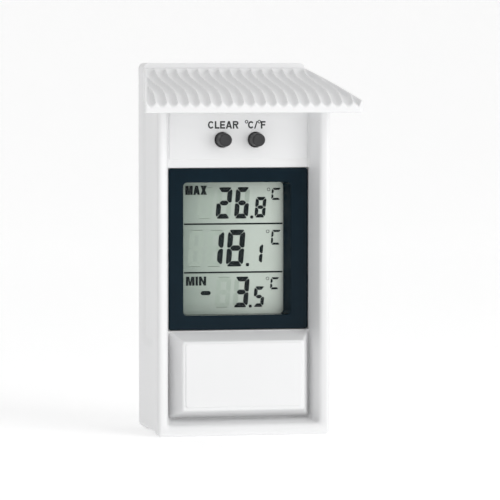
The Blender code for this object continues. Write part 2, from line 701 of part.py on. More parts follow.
def make_display(materials):
    make_bezel(materials["black"])
    pane_x = (WINDOW_X[0] - FUNNEL_WALL / 2, WINDOW_X[1] + FUNNEL_WALL / 2)
    pane_z = (WINDOW_Z[0] - FUNNEL_WALL / 2, WINDOW_Z[1] + FUNNEL_WALL / 2)
    block("display_window", pane_x, (PANE_Y, PANE_Y + PANE_THICKNESS), pane_z, materials["clear"])
    lcd_y = (LCD_Y, LCD_Y + LCD_THICKNESS)
    block("lcd_panel", (-LCD_HALF, LCD_HALF), lcd_y, LCD_Z, materials["lcd"])
    zebra_y = (ZEBRA_Y, ZEBRA_Y + ZEBRA_THICKNESS)
    low = (LCD_Z[0] + GAP, LCD_Z[0] + GAP + ZEBRA_HEIGHT)
    high = (LCD_Z[1] - GAP - ZEBRA_HEIGHT, LCD_Z[1] - GAP)
    block("zebra_strip_lower", (-ZEBRA_HALF, ZEBRA_HALF), zebra_y, low, materials["zebra"])
    block("zebra_strip_upper", (-ZEBRA_HALF, ZEBRA_HALF), zebra_y, high, materials["zebra"])
    inner_half = LCD_HALF + FRAME_MARGIN
    inner_z = (LCD_Z[0] - FRAME_MARGIN, LCD_Z[1] + FRAME_MARGIN)
    outer_half = inner_half + FRAME_WALL
    outer_z = (inner_z[0] - FRAME_WALL, inner_z[1] + FRAME_WALL)
    frame_y = (FLOOR_BACK_Y + GAP, BOARD_Y - GAP)
    frame = block("lcd_frame", (-outer_half, outer_half), frame_y, outer_z, materials["white"])
    frame_reach = (frame_y[0] - 1.0, frame_y[1] + 1.0)
    cut(frame, block("frame_hollow", (-inner_half, inner_half), frame_reach, inner_z))


# Circuit board


def make_board(materials):
    board_y = (BOARD_Y, BOARD_BACK_Y)
    board = block("circuit_board", (-BOARD_HALF, BOARD_HALF), board_y, BOARD_Z, materials["board"])
    for side in (-1, 1):
        for z in BOARD_SCREW_Z:
            reach = (BOARD_Y - 1.0, BOARD_BACK_Y + 1.0)
            cut(board, rod(f"board_hole_{side}_{z}", BOARD_HOLE_RADIUS, reach, (side * BOARD_SCREW_X, z)))
    top_y = BOARD_BACK_Y + GAP
    blob = ((6.5, top_y), (6.2, top_y + 0.8), (5.0, top_y + 1.5), (2.6, top_y + 1.9))
    turned("controller_chip", blob, (0.0, 0.0, CHIP_Z), "Y", materials["epoxy"])
    can = ((CRYSTAL_RADIUS, 0.0), (CRYSTAL_RADIUS, 6.0))
    x, z = CRYSTAL_PLACE
    turned("clock_crystal", can, (x, top_y + CRYSTAL_RADIUS + 0.1, z), "X", materials["metal"], SMALL_ROUND)
    filter_can = ((2.0, 0.0), (2.0, 4.5), (1.7, 5.0))
    x, z = FILTER_PLACE
    turned("filter_capacitor", filter_can, (x, top_y + 0.1, z), "Y", materials["dark"], SMALL_ROUND)
    width, depth, height = CHIP_CAPACITOR_SIZE
    for name, (x, z) in CHIP_CAPACITORS.items():
        across = (x - width / 2, x + width / 2)
        block(name, across, (top_y, top_y + depth), (z - height / 2, z + height / 2), materials["ceramic"])
    x, z = SENSOR_PLACE
    bead_y = top_y + SENSOR_STANDOFF
    bead = [(radius, bead_y + along) for radius, along in SENSOR_BEAD]
    sensor = turned("thermistor", bead, (x, 0.0, z), "Y", materials["epoxy"], SENSOR_SEGMENTS)
    for side in (-1, 1):
        leg_x = x + side * SENSOR_LEG_SPACING / 2
        join(sensor, rod(f"sensor_leg_{side}", 0.3, (top_y, bead_y), (leg_x, z), LEG_SEGMENTS))


# Buttons


def make_button(name, x, materials):
    """A cap on a collar, held by a flange behind the housing. Its stem meets the switch's plunger."""
    flange_front = FLOOR_BACK_Y + GAP
    flange_back = flange_front + FLANGE_THICKNESS
    switch_front = BOARD_Y - GAP - SWITCH_DEPTH
    plunger_front = switch_front - PLUNGER_REACH
    profile = (
        (CAP_RADIUS - 0.6, BUTTON_FRONT_Y),
        (CAP_RADIUS - 0.15, BUTTON_FRONT_Y + 0.2),
        (CAP_RADIUS, BUTTON_FRONT_Y + 0.7),
        (CAP_RADIUS, COLLAR_FRONT_Y),
        (COLLAR_RADIUS, COLLAR_FRONT_Y),
        (COLLAR_RADIUS, flange_front),
        (FLANGE_RADIUS, flange_front),
        (FLANGE_RADIUS, flange_back),
        (STEM_RADIUS, flange_back),
        (STEM_RADIUS, plunger_front - GAP),
    )
    pivot = bpy.data.objects.new(f"{name}_slide", None)
    pivot.location = Vector((x, 0.0, BUTTON_Z)) * MM
    bpy.context.scene.collection.objects.link(pivot)
    cap = turned(f"button_{name}", profile, (0.0, 0.0, 0.0), "Y", materials["button"])
    cap.parent = pivot
    plunger_name = f"switch_plunger_{name}"
    reach = (plunger_front, plunger_front + PLUNGER_LENGTH)
    plunger = rod(plunger_name, PLUNGER_RADIUS, reach, (0.0, 0.0), SMALL_ROUND, materials["dark"])
    plunger.parent = pivot
    side = SWITCH_SIDE / 2
    body_y = (switch_front, BOARD_Y - GAP)
    body_z = (BUTTON_Z - side, BUTTON_Z + side)
    body = block(f"switch_{name}", (x - side, x + side), body_y, body_z, materials["metal"])
    bore_back = plunger_front + PLUNGER_LENGTH + BUTTON_TRAVEL + GAP
    bore = rod(f"switch_bore_{name}", PLUNGER_RADIUS + GAP, (switch_front - 1.0, bore_back), (x, BUTTON_Z))
    cut(body, bore)


# Battery, contacts, leads and cover


def make_battery(materials):
    end = CELL_START_X + CELL_LENGTH
    profile = (
        (CELL_RADIUS - 0.4, CELL_START_X),
        (CELL_RADIUS, CELL_START_X + 0.4),
        (CELL_RADIUS, end - 0.4),
        (CELL_RADIUS - 0.4, end),
        (CELL_NUB_RADIUS, end),
        (CELL_NUB_RADIUS, end + CELL_NUB_LENGTH),
    )
    turned("battery", profile, (0.0, CELL_Y, CELL_Z), "X", materials["cell"])
    for name, side in (("negative", -1), ("positive", 1)):
        middle = side * (BAY_HALF - GAP - PLATE_THICKNESS / 2)
        plate_x = (middle - PLATE_THICKNESS / 2, middle + PLATE_THICKNESS / 2)
        plate_y = (PLATE_FRONT_Y, BAY_FLOOR_Y - GAP)
        plate_z = (CELL_Z - PLATE_HALF_WIDTH, CELL_Z + PLATE_HALF_WIDTH)
        plate = block(f"contact_{name}", plate_x, plate_y, plate_z, materials["metal"])
        tab_z = (CELL_Z - PLATE_HALF_TAB, CELL_Z + PLATE_HALF_TAB)
        join(plate, block(f"tab_{name}", plate_x, (plate_y[1] - 1.0, TAB_BACK_Y), tab_z))
    coil_start = -BAY_HALF + GAP + PLATE_THICKNESS + GAP + SPRING_WIRE
    coil_end = CELL_START_X - GAP - SPRING_WIRE
    steps = 14
    points = []
    for step in range(int(SPRING_TURNS * steps) + 1):
        share = step / (SPRING_TURNS * steps)
        angle = 2 * math.pi * step / steps
        radius = SPRING_RADII[0] + (SPRING_RADII[1] - SPRING_RADII[0]) * share
        x = coil_start + (coil_end - coil_start) * share
        points.append((x, CELL_Y + radius * math.cos(angle), CELL_Z + radius * math.sin(angle)))
    wire("battery_spring", points, SPRING_WIRE, materials["metal"])


def make_leads(materials):
    end_y = BOARD_BACK_Y + GAP
    tab_x = BAY_HALF - GAP - PLATE_THICKNESS / 2
    for name, side, material in (("red", 1, "red"), ("black", -1, "dark")):
        route = (
            (side * tab_x, TAB_BACK_Y + GAP, CELL_Z),
            (side * tab_x, TAB_BACK_Y + 4.0, CELL_Z),
            (side * (tab_x - 2.5), end_y + 2.5, CELL_Z + 1.0),
            (side * 15.0, end_y + 4.0, CELL_Z + 3.5),
            (side * 10.0, end_y + 3.0, CELL_Z + 7.5),
            (side * 8.5, end_y, CELL_Z + 9.0),
        )
        wire(f"battery_lead_{name}", through(route, 6), 0.55, materials[material])


def make_cover(material):
    """The pillow-shaped cover that closes the battery bay. It pulls straight off to the front."""
    face, base = (COVER_FACE, COVER_FACE_Y), (COVER_BASE, COVER_BASE_Y)
    cover = frustum("battery_cover", *face, *base, COVER_CORNER, material)
    smooth(cover)
    pad_y = COVER_FACE_Y - COVER_PAD_RISE
    join(cover, frustum("cover_pad", COVER_PAD, pad_y, COVER_PAD, COVER_FACE_Y + 0.5, COVER_CORNER))
    rates = [(base - face) / (COVER_BASE_Y - COVER_FACE_Y) for base, face in zip(COVER_BASE, COVER_FACE)]
    inner_y = COVER_FACE_Y + COVER_WALL
    walls = (COVER_WALL, -COVER_WALL, COVER_WALL)
    inner_sections = []
    for y in (inner_y, COVER_BASE_Y + 1.0):
        out = y - COVER_FACE_Y
        half, low, high = (face + rate * out - wall for face, rate, wall in zip(COVER_FACE, rates, walls))
        inner_sections.append((y, rounded_outline((-half, half), (low, high), COVER_CORNER - 0.2)))
    cut(cover, loft("cover_hollow", inner_sections))
    lip_y = (COVER_BASE_Y - 3.0, COVER_BASE_Y + COVER_LIP_DEPTH)
    span = (-COVER_LIP_HALF, COVER_LIP_HALF)
    low_lip = (BAY_Z[0] + GAP, BAY_Z[0] + GAP + COVER_LIP_WALL)
    high_lip = (BAY_Z[1] - GAP - COVER_LIP_WALL, BAY_Z[1] - GAP)
    for name, lip, toward in (("low", low_lip, -1), ("high", high_lip, 1)):
        join(cover, block(f"lip_{name}", span, lip_y, lip))
        outer = lip[0] if toward < 0 else lip[1]
        web_z = sorted((outer, outer + toward * COVER_LIP_WEB))
        join(cover, block(f"lip_web_{name}", span, (lip_y[0], COVER_BASE_Y - 1.0), web_z))
    return cover


# Fasteners


def screw_profile(head_radius, head_height, shank_radius, shank_length, head_y):
    return (
        (head_radius * 0.75, head_y + head_height),
        (head_radius, head_y + head_height * 0.55),
        (head_radius, head_y),
        (shank_radius, head_y),
        (shank_radius, head_y - shank_length + 0.8),
        (0.3, head_y - shank_length),
    )


def add_cross_slot(screw, name, place, top_y, reach):
    """A cross recess in a screw's head."""
    for index, (across, up) in enumerate(((reach, 0.35), (0.35, reach))):
        slot_x = (place[0] - across, place[0] + across)
        slot_z = (place[1] - up, place[1] + up)
        cut(screw, block(f"{name}_slot_{index}", slot_x, (top_y - 0.8, top_y + 1.0), slot_z))


def make_screws(material):
    head_y = BACK_Y - COUNTERBORE_DEPTH + GAP
    profile = screw_profile(HEAD_RADIUS, HEAD_HEIGHT, SHANK_RADIUS, SHANK_LENGTH, head_y)
    for name, place in HOUSING_SCREWS.items():
        title = f"housing_screw_{name}"
        screw = turned(title, profile, (place[0], 0.0, place[1]), "Y", material, SMALL_ROUND)
        add_cross_slot(screw, title, place, head_y + HEAD_HEIGHT, 1.5)
    head_y = BOARD_BACK_Y + GAP
    profile = screw_profile(
        BOARD_HEAD_RADIUS, BOARD_HEAD_HEIGHT, BOARD_SHANK_RADIUS, BOARD_SHANK_LENGTH, head_y
    )
    for level, z in zip(("lower", "upper"), BOARD_SCREW_Z):
        for side, x in (("left", -BOARD_SCREW_X), ("right", BOARD_SCREW_X)):
            turned(f"board_screw_{level}_{side}", profile, (x, 0.0, z), "Y", material, SMALL_ROUND)


def main():
    clear_scene()
    materials = make_materials()
    make_front_housing(materials["white"])
    make_rear_housing(materials["white"])
    make_roof(materials["white"])
    make_display(materials)
    make_board(materials)
    for name, x in BUTTON_X.items():
        make_button(name, x, materials)
    make_battery(materials)
    make_leads(materials)
    make_cover(materials["white"])
    make_screws(materials["screw"])


main()
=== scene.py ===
"""Looks of the digital maximum-minimum thermometer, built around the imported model.

Sizes are in millimetres and meshes are made in metres. The display faces -Y, the wall is at +Y and +Z is up.
"""

from math import asin, cos, degrees, pi, radians, sin, sqrt

import bmesh
import bpy
from mathutils import Matrix, Vector


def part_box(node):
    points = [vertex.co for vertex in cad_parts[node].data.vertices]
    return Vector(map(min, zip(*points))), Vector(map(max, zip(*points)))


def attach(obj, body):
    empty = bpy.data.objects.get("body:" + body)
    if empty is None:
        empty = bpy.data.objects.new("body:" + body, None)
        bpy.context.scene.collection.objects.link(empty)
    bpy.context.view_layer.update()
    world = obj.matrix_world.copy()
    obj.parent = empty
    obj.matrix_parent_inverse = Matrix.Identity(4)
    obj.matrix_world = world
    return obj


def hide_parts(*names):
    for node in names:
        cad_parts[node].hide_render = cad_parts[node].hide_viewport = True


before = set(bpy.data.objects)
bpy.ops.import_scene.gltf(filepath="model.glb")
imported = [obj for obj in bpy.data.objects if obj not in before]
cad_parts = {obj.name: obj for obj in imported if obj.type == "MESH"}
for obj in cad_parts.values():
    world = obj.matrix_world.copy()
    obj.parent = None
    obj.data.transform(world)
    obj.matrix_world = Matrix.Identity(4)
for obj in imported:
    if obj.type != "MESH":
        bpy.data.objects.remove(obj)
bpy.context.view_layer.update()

MM = 0.001


def span(node):
    """The low and high ends of a node along X, Y and Z, in millimetres."""
    low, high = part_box(node)
    return [(low[i] / MM, high[i] / MM) for i in range(3)]


def middle(ends):
    return (ends[0] + ends[1]) / 2


def place_of(node):
    """The middle of a node across and up, as (x, z)."""
    x, _, z = span(node)
    return middle(x), middle(z)


def grow(ends, by):
    """The range with both its ends moved outwards."""
    return ends[0] - by, ends[1] + by


def about(centre, half):
    """The range that lies evenly about a centre."""
    return centre - half, centre + half


def spaced(start, end, steps):
    """Evenly spaced values from start to end, with both ends."""
    return [start + (end - start) * i / steps for i in range(steps + 1)]


def between(first, second, share):
    """Values part of the way from the first set to the second."""
    return [a + (b - a) * share for a, b in zip(first, second)]


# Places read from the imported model

FRONT_X, FRONT_Y, FRONT_Z = span("front_housing")
REAR_X, REAR_Y, REAR_Z = span("rear_housing")
ROOF_X, ROOF_Y, _ = span("roof")
BEZEL_X, BEZEL_Y, BEZEL_Z = span("display_bezel")
LCD_X, LCD_Y, LCD_Z = span("lcd_panel")
COVER_Y = span("battery_cover")[1]
BATTERY_X, BATTERY_Y, BATTERY_Z = span("battery")
HEIGHT = REAR_Z[1]
RIM_Y = FRONT_Y[0]
SEAM_Y = REAR_Y[0]
BACK_Y = REAR_Y[1]
FRONT_BACK_Y = ROOF_Y[1]
FLOOR_Y = BEZEL_Y[0]
GAP = 0.3

# How far tools run past the faces they cut and into what they join, and past the whole housing
PAST = 1.0
FAR = 5.0

# Roof

RIB_PITCH = 3.92
RIB_DEPTH = 1.5
RIB_SHARPNESS = 0.06
RIB_SWAY = 0.85
RIB_SWAY_LENGTH = 38.5
RIB_SWAY_PEAK_Y = -14.2
RIB_SWAY_MIDDLE = 1.02
ROOF_THICKNESS = 3.9
ROOF_BACK_HALF = REAR_X[1]
ROOF_FRONT_HALF = ROOF_X[1]
ROOF_SLOPE = 0.2
ROOF_CURVE = 0.0007
ROOF_BACK_Z = 130.0
ROOF_BORDER = 1.1
ROOF_TOP_EDGE = 1.3
ROOF_LOW_EDGE = 0.5
RIB_END_LENGTH = 2.4
ROOF_TIP_RADIUS = 1.2
ROOF_SPLAY = (ROOF_FRONT_HALF - ROOF_BACK_HALF) / (FRONT_BACK_Y - ROOF_Y[0] - ROOF_TIP_RADIUS)
ROOF_CORNER_HALF = ROOF_BACK_HALF + ROOF_SPLAY * (FRONT_BACK_Y - ROOF_Y[0])
SHOULDER_Z = 118.5

# Front housing

WALL = 2.0
SIDE_WALL = 2.6
FLOOR_THICKNESS = 3.0
FLOOR_BACK_Y = FLOOR_Y + FLOOR_THICKNESS
EDGE_RADIUS = 1.4
RIM_CORNER = 1.6
BODY_CORNER = 2.4
BODY_INSET = 0.25
BODY_RAISE = 0.7
FLANGE_Y = (RIM_Y + 4.0, RIM_Y + 9.5)
RECESS_RIM = (27.8, 3.7, 116.4)
RECESS_FLOOR = (25.6, 5.5, 115.2)
RECESS_LIP_RADIUS = 1.7
RECESS_CORNER = 1.2
RECESS_FILLET = 0.5
SIDE_PANEL_Y = (-4.0, 15.5)
SIDE_PANEL_Z = (30.5, 122.0)
SIDE_PANEL_DEPTH = 0.6
SIDE_PANEL_CORNER = 2.2
SIDE_PANEL_STEPS = (
    (-1.0, -3.0), (0.0, 0.0), (0.07, 0.5), (0.22, 1.1), (0.5, 1.9), (0.78, 2.7), (0.93, 3.3), (1.0, 4.0),
)
BUTTON_PANEL = (25.2, 97.8, 115.6)
BUTTON_PANEL_RISE = 0.3
BUTTONS = ("clear", "unit")
BUTTON_HOLE_RADIUS = 2.75
HOLE_CHAMFER = 0.2
BOSS_RADIUS = 3.0
PILOT_RADIUS = 1.4
PILOT_DEPTH = 8.0
CORNERS = ("upper_left", "upper_right", "lower_left", "lower_right")
HOUSING_SCREWS = {corner: place_of(f"housing_screw_{corner}") for corner in CORNERS}

# Battery bay

BAY_HALF = 24.6
BAY_Z = (9.8, 32.2)
BAY_FLOOR_Y = FLOOR_Y + 7.5
BAY_WALL = 1.5
BAY_BACK_Y = BAY_FLOOR_Y + BAY_WALL
TAB_SLOT_HALF = (0.4, 2.3)

# Display

BEZEL_THICKNESS = 1.6
WINDOW_X = (-20.1, 19.2)
WINDOW_Z = (42.2, 89.6)
WINDOW_RADIUS = 1.4
FUNNEL_TAPER = (1.1, 1.7, 0.2)
FUNNEL_WALL = 1.0
FUNNEL_LIP_RADIUS = 0.35
POLARISER_THICKNESS = 0.18
POLARISER_MARGIN = 0.9
FIGURE_LIFT = 0.01
SEGMENT_RISE = 0.06
# The display reflector's left and right tones. The far paler right tone is painted light.
LCD_TONES_WITH_PAINTED_LIGHT = ((0.385, 0.475, 0.41), (0.88, 0.97, 0.88))

# Rear housing

REAR_CORNER = 2.0
REAR_EDGE_RADIUS = 1.2
KEYHOLE_Z = 104.0
KEYHOLE_RADIUS = 4.0
KEYHOLE_SLOT_HALF = 2.0
KEYHOLE_SLOT_TOP = 112.0
KEYHOLE_POCKET = (5.5, 98.5, 113.5)
KEYHOLE_POCKET_DEPTH = 4.0
KEYHOLE_POCKET_WALL = 1.2
VENTS = 7
VENT_PITCH = 5.0
VENT_HALF = 1.0
VENT_Y = (21.5, 26.5)
COUNTERBORE_RADIUS = 3.1
COUNTERBORE_DEPTH = 6.5
COUNTERBORE_CHAMFER = 0.3
CLEARANCE_RADIUS = 1.7
REAR_BOSS_RADIUS = 4.2

# Battery cover

COVER_BASE = (25.3, 5.9, 36.5)
COVER_FACE = (22.1, 9.0, 33.5)
COVER_PAD = (21.0, 10.2, 32.9)
COVER_PAD_RISE = 0.3
COVER_FACE_Y = COVER_Y[0] + COVER_PAD_RISE
COVER_BASE_Y = FLOOR_Y - GAP
COVER_EDGE_RADIUS = 0.7
COVER_LEAN = 0.36
COVER_WALL = 1.6
COVER_LIP_HALF = 20.0
COVER_LIP_WALL = 1.2
COVER_LIP_WEB = 2.6

CORNER_STEPS = 8
EDGE_STEPS = 6
ROUND = 64


# Mesh helpers


def new_object(name, data):
    thing = bpy.data.objects.new(name, data)
    bpy.context.scene.collection.objects.link(thing)
    return thing


def solid(name, bm):
    bmesh.ops.recalc_face_normals(bm, faces=bm.faces)
    mesh = bpy.data.meshes.new(name)
    bm.to_mesh(mesh)
    bm.free()
    return new_object(name, mesh)


def arc(centre, reach, start, end, steps):
    """Points along part of an ellipse, from one angle in degrees to the other."""
    points = []
    for angle in map(radians, spaced(start, end, steps)):
        points.append((centre[0] + reach[0] * cos(angle), centre[1] + reach[1] * sin(angle)))
    return points


def edge_arc(radius, steps=EDGE_STEPS):
    """Pairs (inset, depth) that round an edge, from the face back to the side."""
    return [(radius * (1 - sin(a)), radius * (1 - cos(a))) for a in spaced(0.0, pi / 2, steps)]


def rounded(x, z, radius, steps=CORNER_STEPS):
    """Points round a rectangle with round corners, as (x, z)."""
    left, right, low, high = x[0] + radius, x[1] - radius, z[0] + radius, z[1] - radius
    points = []
    for index, centre in enumerate(((right, high), (left, high), (left, low), (right, low))):
        points += arc(centre, (radius, radius), 90.0 * index, 90.0 * index + 90.0, steps)
    return points


def add_ring_faces(bm, first, second):
    for i in range(len(first)):
        j = (i + 1) % len(first)
        bm.faces.new((first[i], first[j], second[j], second[i]))


def skin(name, rings):
    """A closed solid through rings of equal point counts. The points are in metres."""
    bm = bmesh.new()
    rings = [[bm.verts.new(point) for point in ring] for ring in rings]
    for first, second in zip(rings, rings[1:]):
        add_ring_faces(bm, first, second)
    bm.faces.new(rings[0])
    bm.faces.new(rings[-1])
    return solid(name, bm)


def loft(name, sections):
    """A solid through outlines along Y, each given as (y, points)."""
    return skin(name, [[(x * MM, y * MM, z * MM) for x, z in points] for y, points in sections])


def side_loft(name, sections):
    """A solid through outlines along X, each given as (x, points)."""
    return skin(name, [[(x * MM, y * MM, z * MM) for y, z in points] for x, points in sections])


def slab(name, x, y, z, corner, edge=0.0, back_edge=0.0):
    """A plate between two Y values with round corners, and with its front and back edges rounded."""
    front = [(inset, y[0] + depth) for inset, depth in edge_arc(edge)] if edge else [(0.0, y[0])]
    back = [(inset, y[1] - depth) for inset, depth in edge_arc(back_edge)] if back_edge else [(0.0, y[1])]
    sections = []
    for inset, place in front + back[::-1]:
        sections.append((place, rounded(grow(x, -inset), grow(z, -inset), max(corner - inset, 0.12))))
    return loft(name, sections)


def block(name, x, y, z):
    """A cutter or a wall: a box between the two values of each range."""
    bm = bmesh.new()
    bmesh.ops.create_cube(bm, size=1.0)
    ranges = (x, y, z)
    for vert in bm.verts:
        vert.co = Vector(ranges[i][vert.co[i] > 0] for i in range(3)) * MM
    return solid(name, bm)


def turned(name, profile, centre, axis="Y", segments=ROUND):
    """A solid turned about X or Y.

    The profile is (radius, distance along the axis) from end to end. The centre is where the axis lies
    in the other two directions.
    """
    slot = "XY".index(axis)
    origin = list(centre)
    origin.insert(slot, 0.0)
    rings = []
    for radius, along in profile:
        ring = []
        for i in range(segments):
            angle = 2 * pi * i / segments
            place = [radius * cos(angle), radius * sin(angle)]
            place.insert(slot, along)
            ring.append((Vector(place) + Vector(origin)) * MM)
        rings.append(ring)
    return skin(name, rings)


def rod(name, radius, y, place):
    return turned(name, ((radius, y[0]), (radius, y[1])), place, segments=32)


def combine(target, operation, tools):
    """Applies a Boolean with each tool in turn, and removes the tools."""
    for tool in tools:
        modifier = target.modifiers.new(tool.name, "BOOLEAN")
        modifier.operation = operation
        modifier.solver = "EXACT"
        modifier.object = tool
    graph = bpy.context.evaluated_depsgraph_get()
    mesh = bpy.data.meshes.new_from_object(target.evaluated_get(graph))
    target.modifiers.clear()
    target.data = mesh
    for tool in tools:
        bpy.data.objects.remove(tool)
    return target


def cut(target, *tools):
    return combine(target, "DIFFERENCE", tools)


def join(target, *tools):
    return combine(target, "UNION", tools)


def dress(thing, key):
    thing.data.materials.clear()
    thing.data.materials.append(MATERIALS[key])


def finish(thing, key, nodes=(), body="housing", sharp=32.0):
    """Shades the piece, gives it its material and ties it to the frame."""
    dress(thing, key)
    if thing.type == "MESH":
        thing.data.shade_smooth()
        thing.data.set_sharp_from_angle(angle=radians(sharp))
        thing.modifiers.new("weighted_normals", "WEIGHTED_NORMAL").keep_sharp = True
    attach(thing, body)
    if nodes:
        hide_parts(*nodes)


# Materials


def new_material(name, **sockets):
    """A Principled material whose constant values sit on the shader's own sockets."""
    material = bpy.data.materials.new(name)
    material.use_nodes = True
    shader = material.node_tree.nodes["Principled BSDF"]
    for socket, value in sockets.items():
        shader.inputs[socket.replace("_", " ")].default_value = value
    return material


def add_node(owner, kind, settings=None, **inputs):
    """A node with its settings, then its inputs, each linked to an output or set to a value."""
    node = owner.node_tree.nodes.new(kind)
    for name, value in (settings or {}).items():
        setattr(node, name, value)
    for name, value in inputs.items():
        socket = node.inputs[name.replace("_", " ")]
        if isinstance(value, bpy.types.NodeSocket):
            owner.node_tree.links.new(value, socket)
        else:
            socket.default_value = value
    return node


def add_place(material):
    return add_node(material, "ShaderNodeTexCoord").outputs["Object"]


def add_noise(material, scale, detail=2.0, stretch=(1.0, 1.0, 1.0)):
    """A noise texture in object space. The scale is the size of its features in millimetres."""
    mapping = add_node(material, "ShaderNodeMapping", Vector=add_place(material), Scale=stretch)
    place = mapping.outputs["Vector"]
    noise = add_node(material, "ShaderNodeTexNoise", Vector=place, Scale=1.0 / (scale * MM), Detail=detail)
    return noise.outputs["Fac"]


def add_ramp(material, source, stops):
    """A colour ramp over the source. Each stop is (position, colour)."""
    ramp = add_node(material, "ShaderNodeValToRGB", Fac=source)
    elements = ramp.color_ramp.elements
    while len(elements) < len(stops):
        elements.new(0.5)
    for element, (position, colour) in zip(elements, stops):
        element.position = position
        element.color = (*colour, 1.0)
    return ramp.outputs["Color"]


def add_range(material, source, low, high, start=0.3, end=0.7):
    """The source's values between start and end spread over low to high."""
    limits = {"From_Min": start, "From_Max": end, "To_Min": low, "To_Max": high}
    return add_node(material, "ShaderNodeMapRange", Value=source, **limits).outputs["Result"]


def add_share_across(material, x):
    """How far a place lies between two X values, from 0 to 1."""
    split = add_node(material, "ShaderNodeSeparateXYZ", Vector=add_place(material))
    return add_range(material, split.outputs["X"], 0.0, 1.0, x[0] * MM, x[1] * MM)


def feed(material, socket, output):
    shader = material.node_tree.nodes["Principled BSDF"]
    material.node_tree.links.new(output, shader.inputs[socket])


def add_bump(material, source, depth):
    """Surface relief from the source, with its depth in millimetres."""
    bump = add_node(material, "ShaderNodeBump", Strength=1.0, Distance=depth * MM, Height=source)
    feed(material, "Normal", bump.outputs["Normal"])


def tinted(colour, change):
    return tuple(max(value * (1 + change), 0.0) for value in colour)


def moulded(name, colour, roughness, patch=30.0, variation=0.02, grain=0.4, relief=0.004, **sockets):
    """Moulded plastic or rubber: soft colour patches, and a fine grain in the gloss and the relief."""
    material = new_material(name, **sockets)
    stops = ((0.3, tinted(colour, -variation)), (0.7, tinted(colour, variation)))
    feed(material, "Base Color", add_ramp(material, add_noise(material, patch, 3.0), stops))
    fine = add_noise(material, grain)
    feed(material, "Roughness", add_range(material, fine, roughness - 0.04, roughness + 0.04))
    add_bump(material, fine, relief)
    return material


def metal(name, colour, roughness, stretch=(1.0, 1.0, 1.0)):
    """Plated or bare metal with brush marks and a little tarnish."""
    material = new_material(name, Metallic=1.0)
    stops = ((0.25, tinted(colour, -0.18)), (0.65, colour))
    feed(material, "Base Color", add_ramp(material, add_noise(material, 2.5, 4.0), stops))
    marks = add_noise(material, 0.3, 3.0, stretch)
    feed(material, "Roughness", add_range(material, marks, roughness - 0.07, roughness + 0.1))
    add_bump(material, marks, 0.002)
    return material


def make_lcd_face():
    """The grey-green reflector behind the display's front polariser. Painted light makes it much paler
    towards the right, standing in for the light and reflection that fall there.
    """
    material = new_material("lcd_face_painted_light", Roughness=0.34, Specular_IOR_Level=0.4)
    # Painted light: the ramp runs from the darker tone at the left to a much paler tone at the right.
    stops = ((0.05, LCD_TONES_WITH_PAINTED_LIGHT[0]), (0.95, LCD_TONES_WITH_PAINTED_LIGHT[1]))
    base = add_ramp(material, add_share_across(material, LCD_X), stops)
    fibres = add_noise(material, 0.12)
    mottle = add_range(material, fibres, 0.955, 1.03)
    settings = {"data_type": "RGBA", "blend_type": "MULTIPLY"}
    mix = add_node(material, "ShaderNodeMix", settings, Factor=1.0, A=base, B=mottle)
    feed(material, "Base Color", mix.outputs["Result"])
    add_bump(material, fibres, 0.0015)
    return material


def make_board_finish():
    """Green solder mask over faint copper tracks."""
    material = new_material("circuit_board", Specular_IOR_Level=0.5)
    facing = (pi / 2, 0.0, 0.0)
    turn = add_node(material, "ShaderNodeMapping", Vector=add_place(material), Rotation=facing)
    tracks = add_node(
        material, "ShaderNodeTexBrick", Vector=turn.outputs["Vector"], Scale=1.0 / (8.0 * MM),
        Mortar_Size=0.03, Mortar_Smooth=0.2, Mortar=(0.05, 0.26, 0.1, 1.0),
        Color1=(0.012, 0.12, 0.045, 1.0), Color2=(0.016, 0.14, 0.052, 1.0),
    )
    feed(material, "Base Color", tracks.outputs["Color"])
    feed(material, "Roughness", add_range(material, add_noise(material, 0.5), 0.28, 0.42))
    add_bump(material, tracks.outputs["Fac"], 0.03)
    return material


def make_cell_jacket():
    """A foil-printed cell jacket: dark along the body with a copper band at the positive end."""
    material = new_material("cell_jacket", Metallic=0.6, Coat_Weight=0.4, Coat_Roughness=0.1)
    steel, silver = (0.72, 0.72, 0.7), (0.85, 0.83, 0.78)
    copper, slate = (0.62, 0.3, 0.1), (0.02, 0.03, 0.045)
    stops = (
        (0.012, steel), (0.018, slate), (0.735, slate), (0.74, silver), (0.75, copper), (0.955, copper),
        (0.962, steel),
    )
    feed(material, "Base Color", add_ramp(material, add_share_across(material, BATTERY_X), stops))
    foil = add_noise(material, 0.25, stretch=(0.2, 1.0, 1.0))
    feed(material, "Roughness", add_range(material, foil, 0.2, 0.34))
    add_bump(material, foil, 0.002)
    return material


def make_clear():
    """Clear acrylic, which lets the display behind it show."""
    tint = (0.03, 0.035, 0.035, 1.0)
    material = new_material("clear_acrylic", Base_Color=tint, Alpha=0.07, Roughness=0.04, IOR=1.49)
    wipe = add_noise(material, 9.0, 4.0, (1.0, 1.0, 0.3))
    feed(material, "Roughness", add_range(material, wipe, 0.02, 0.09))
    return material


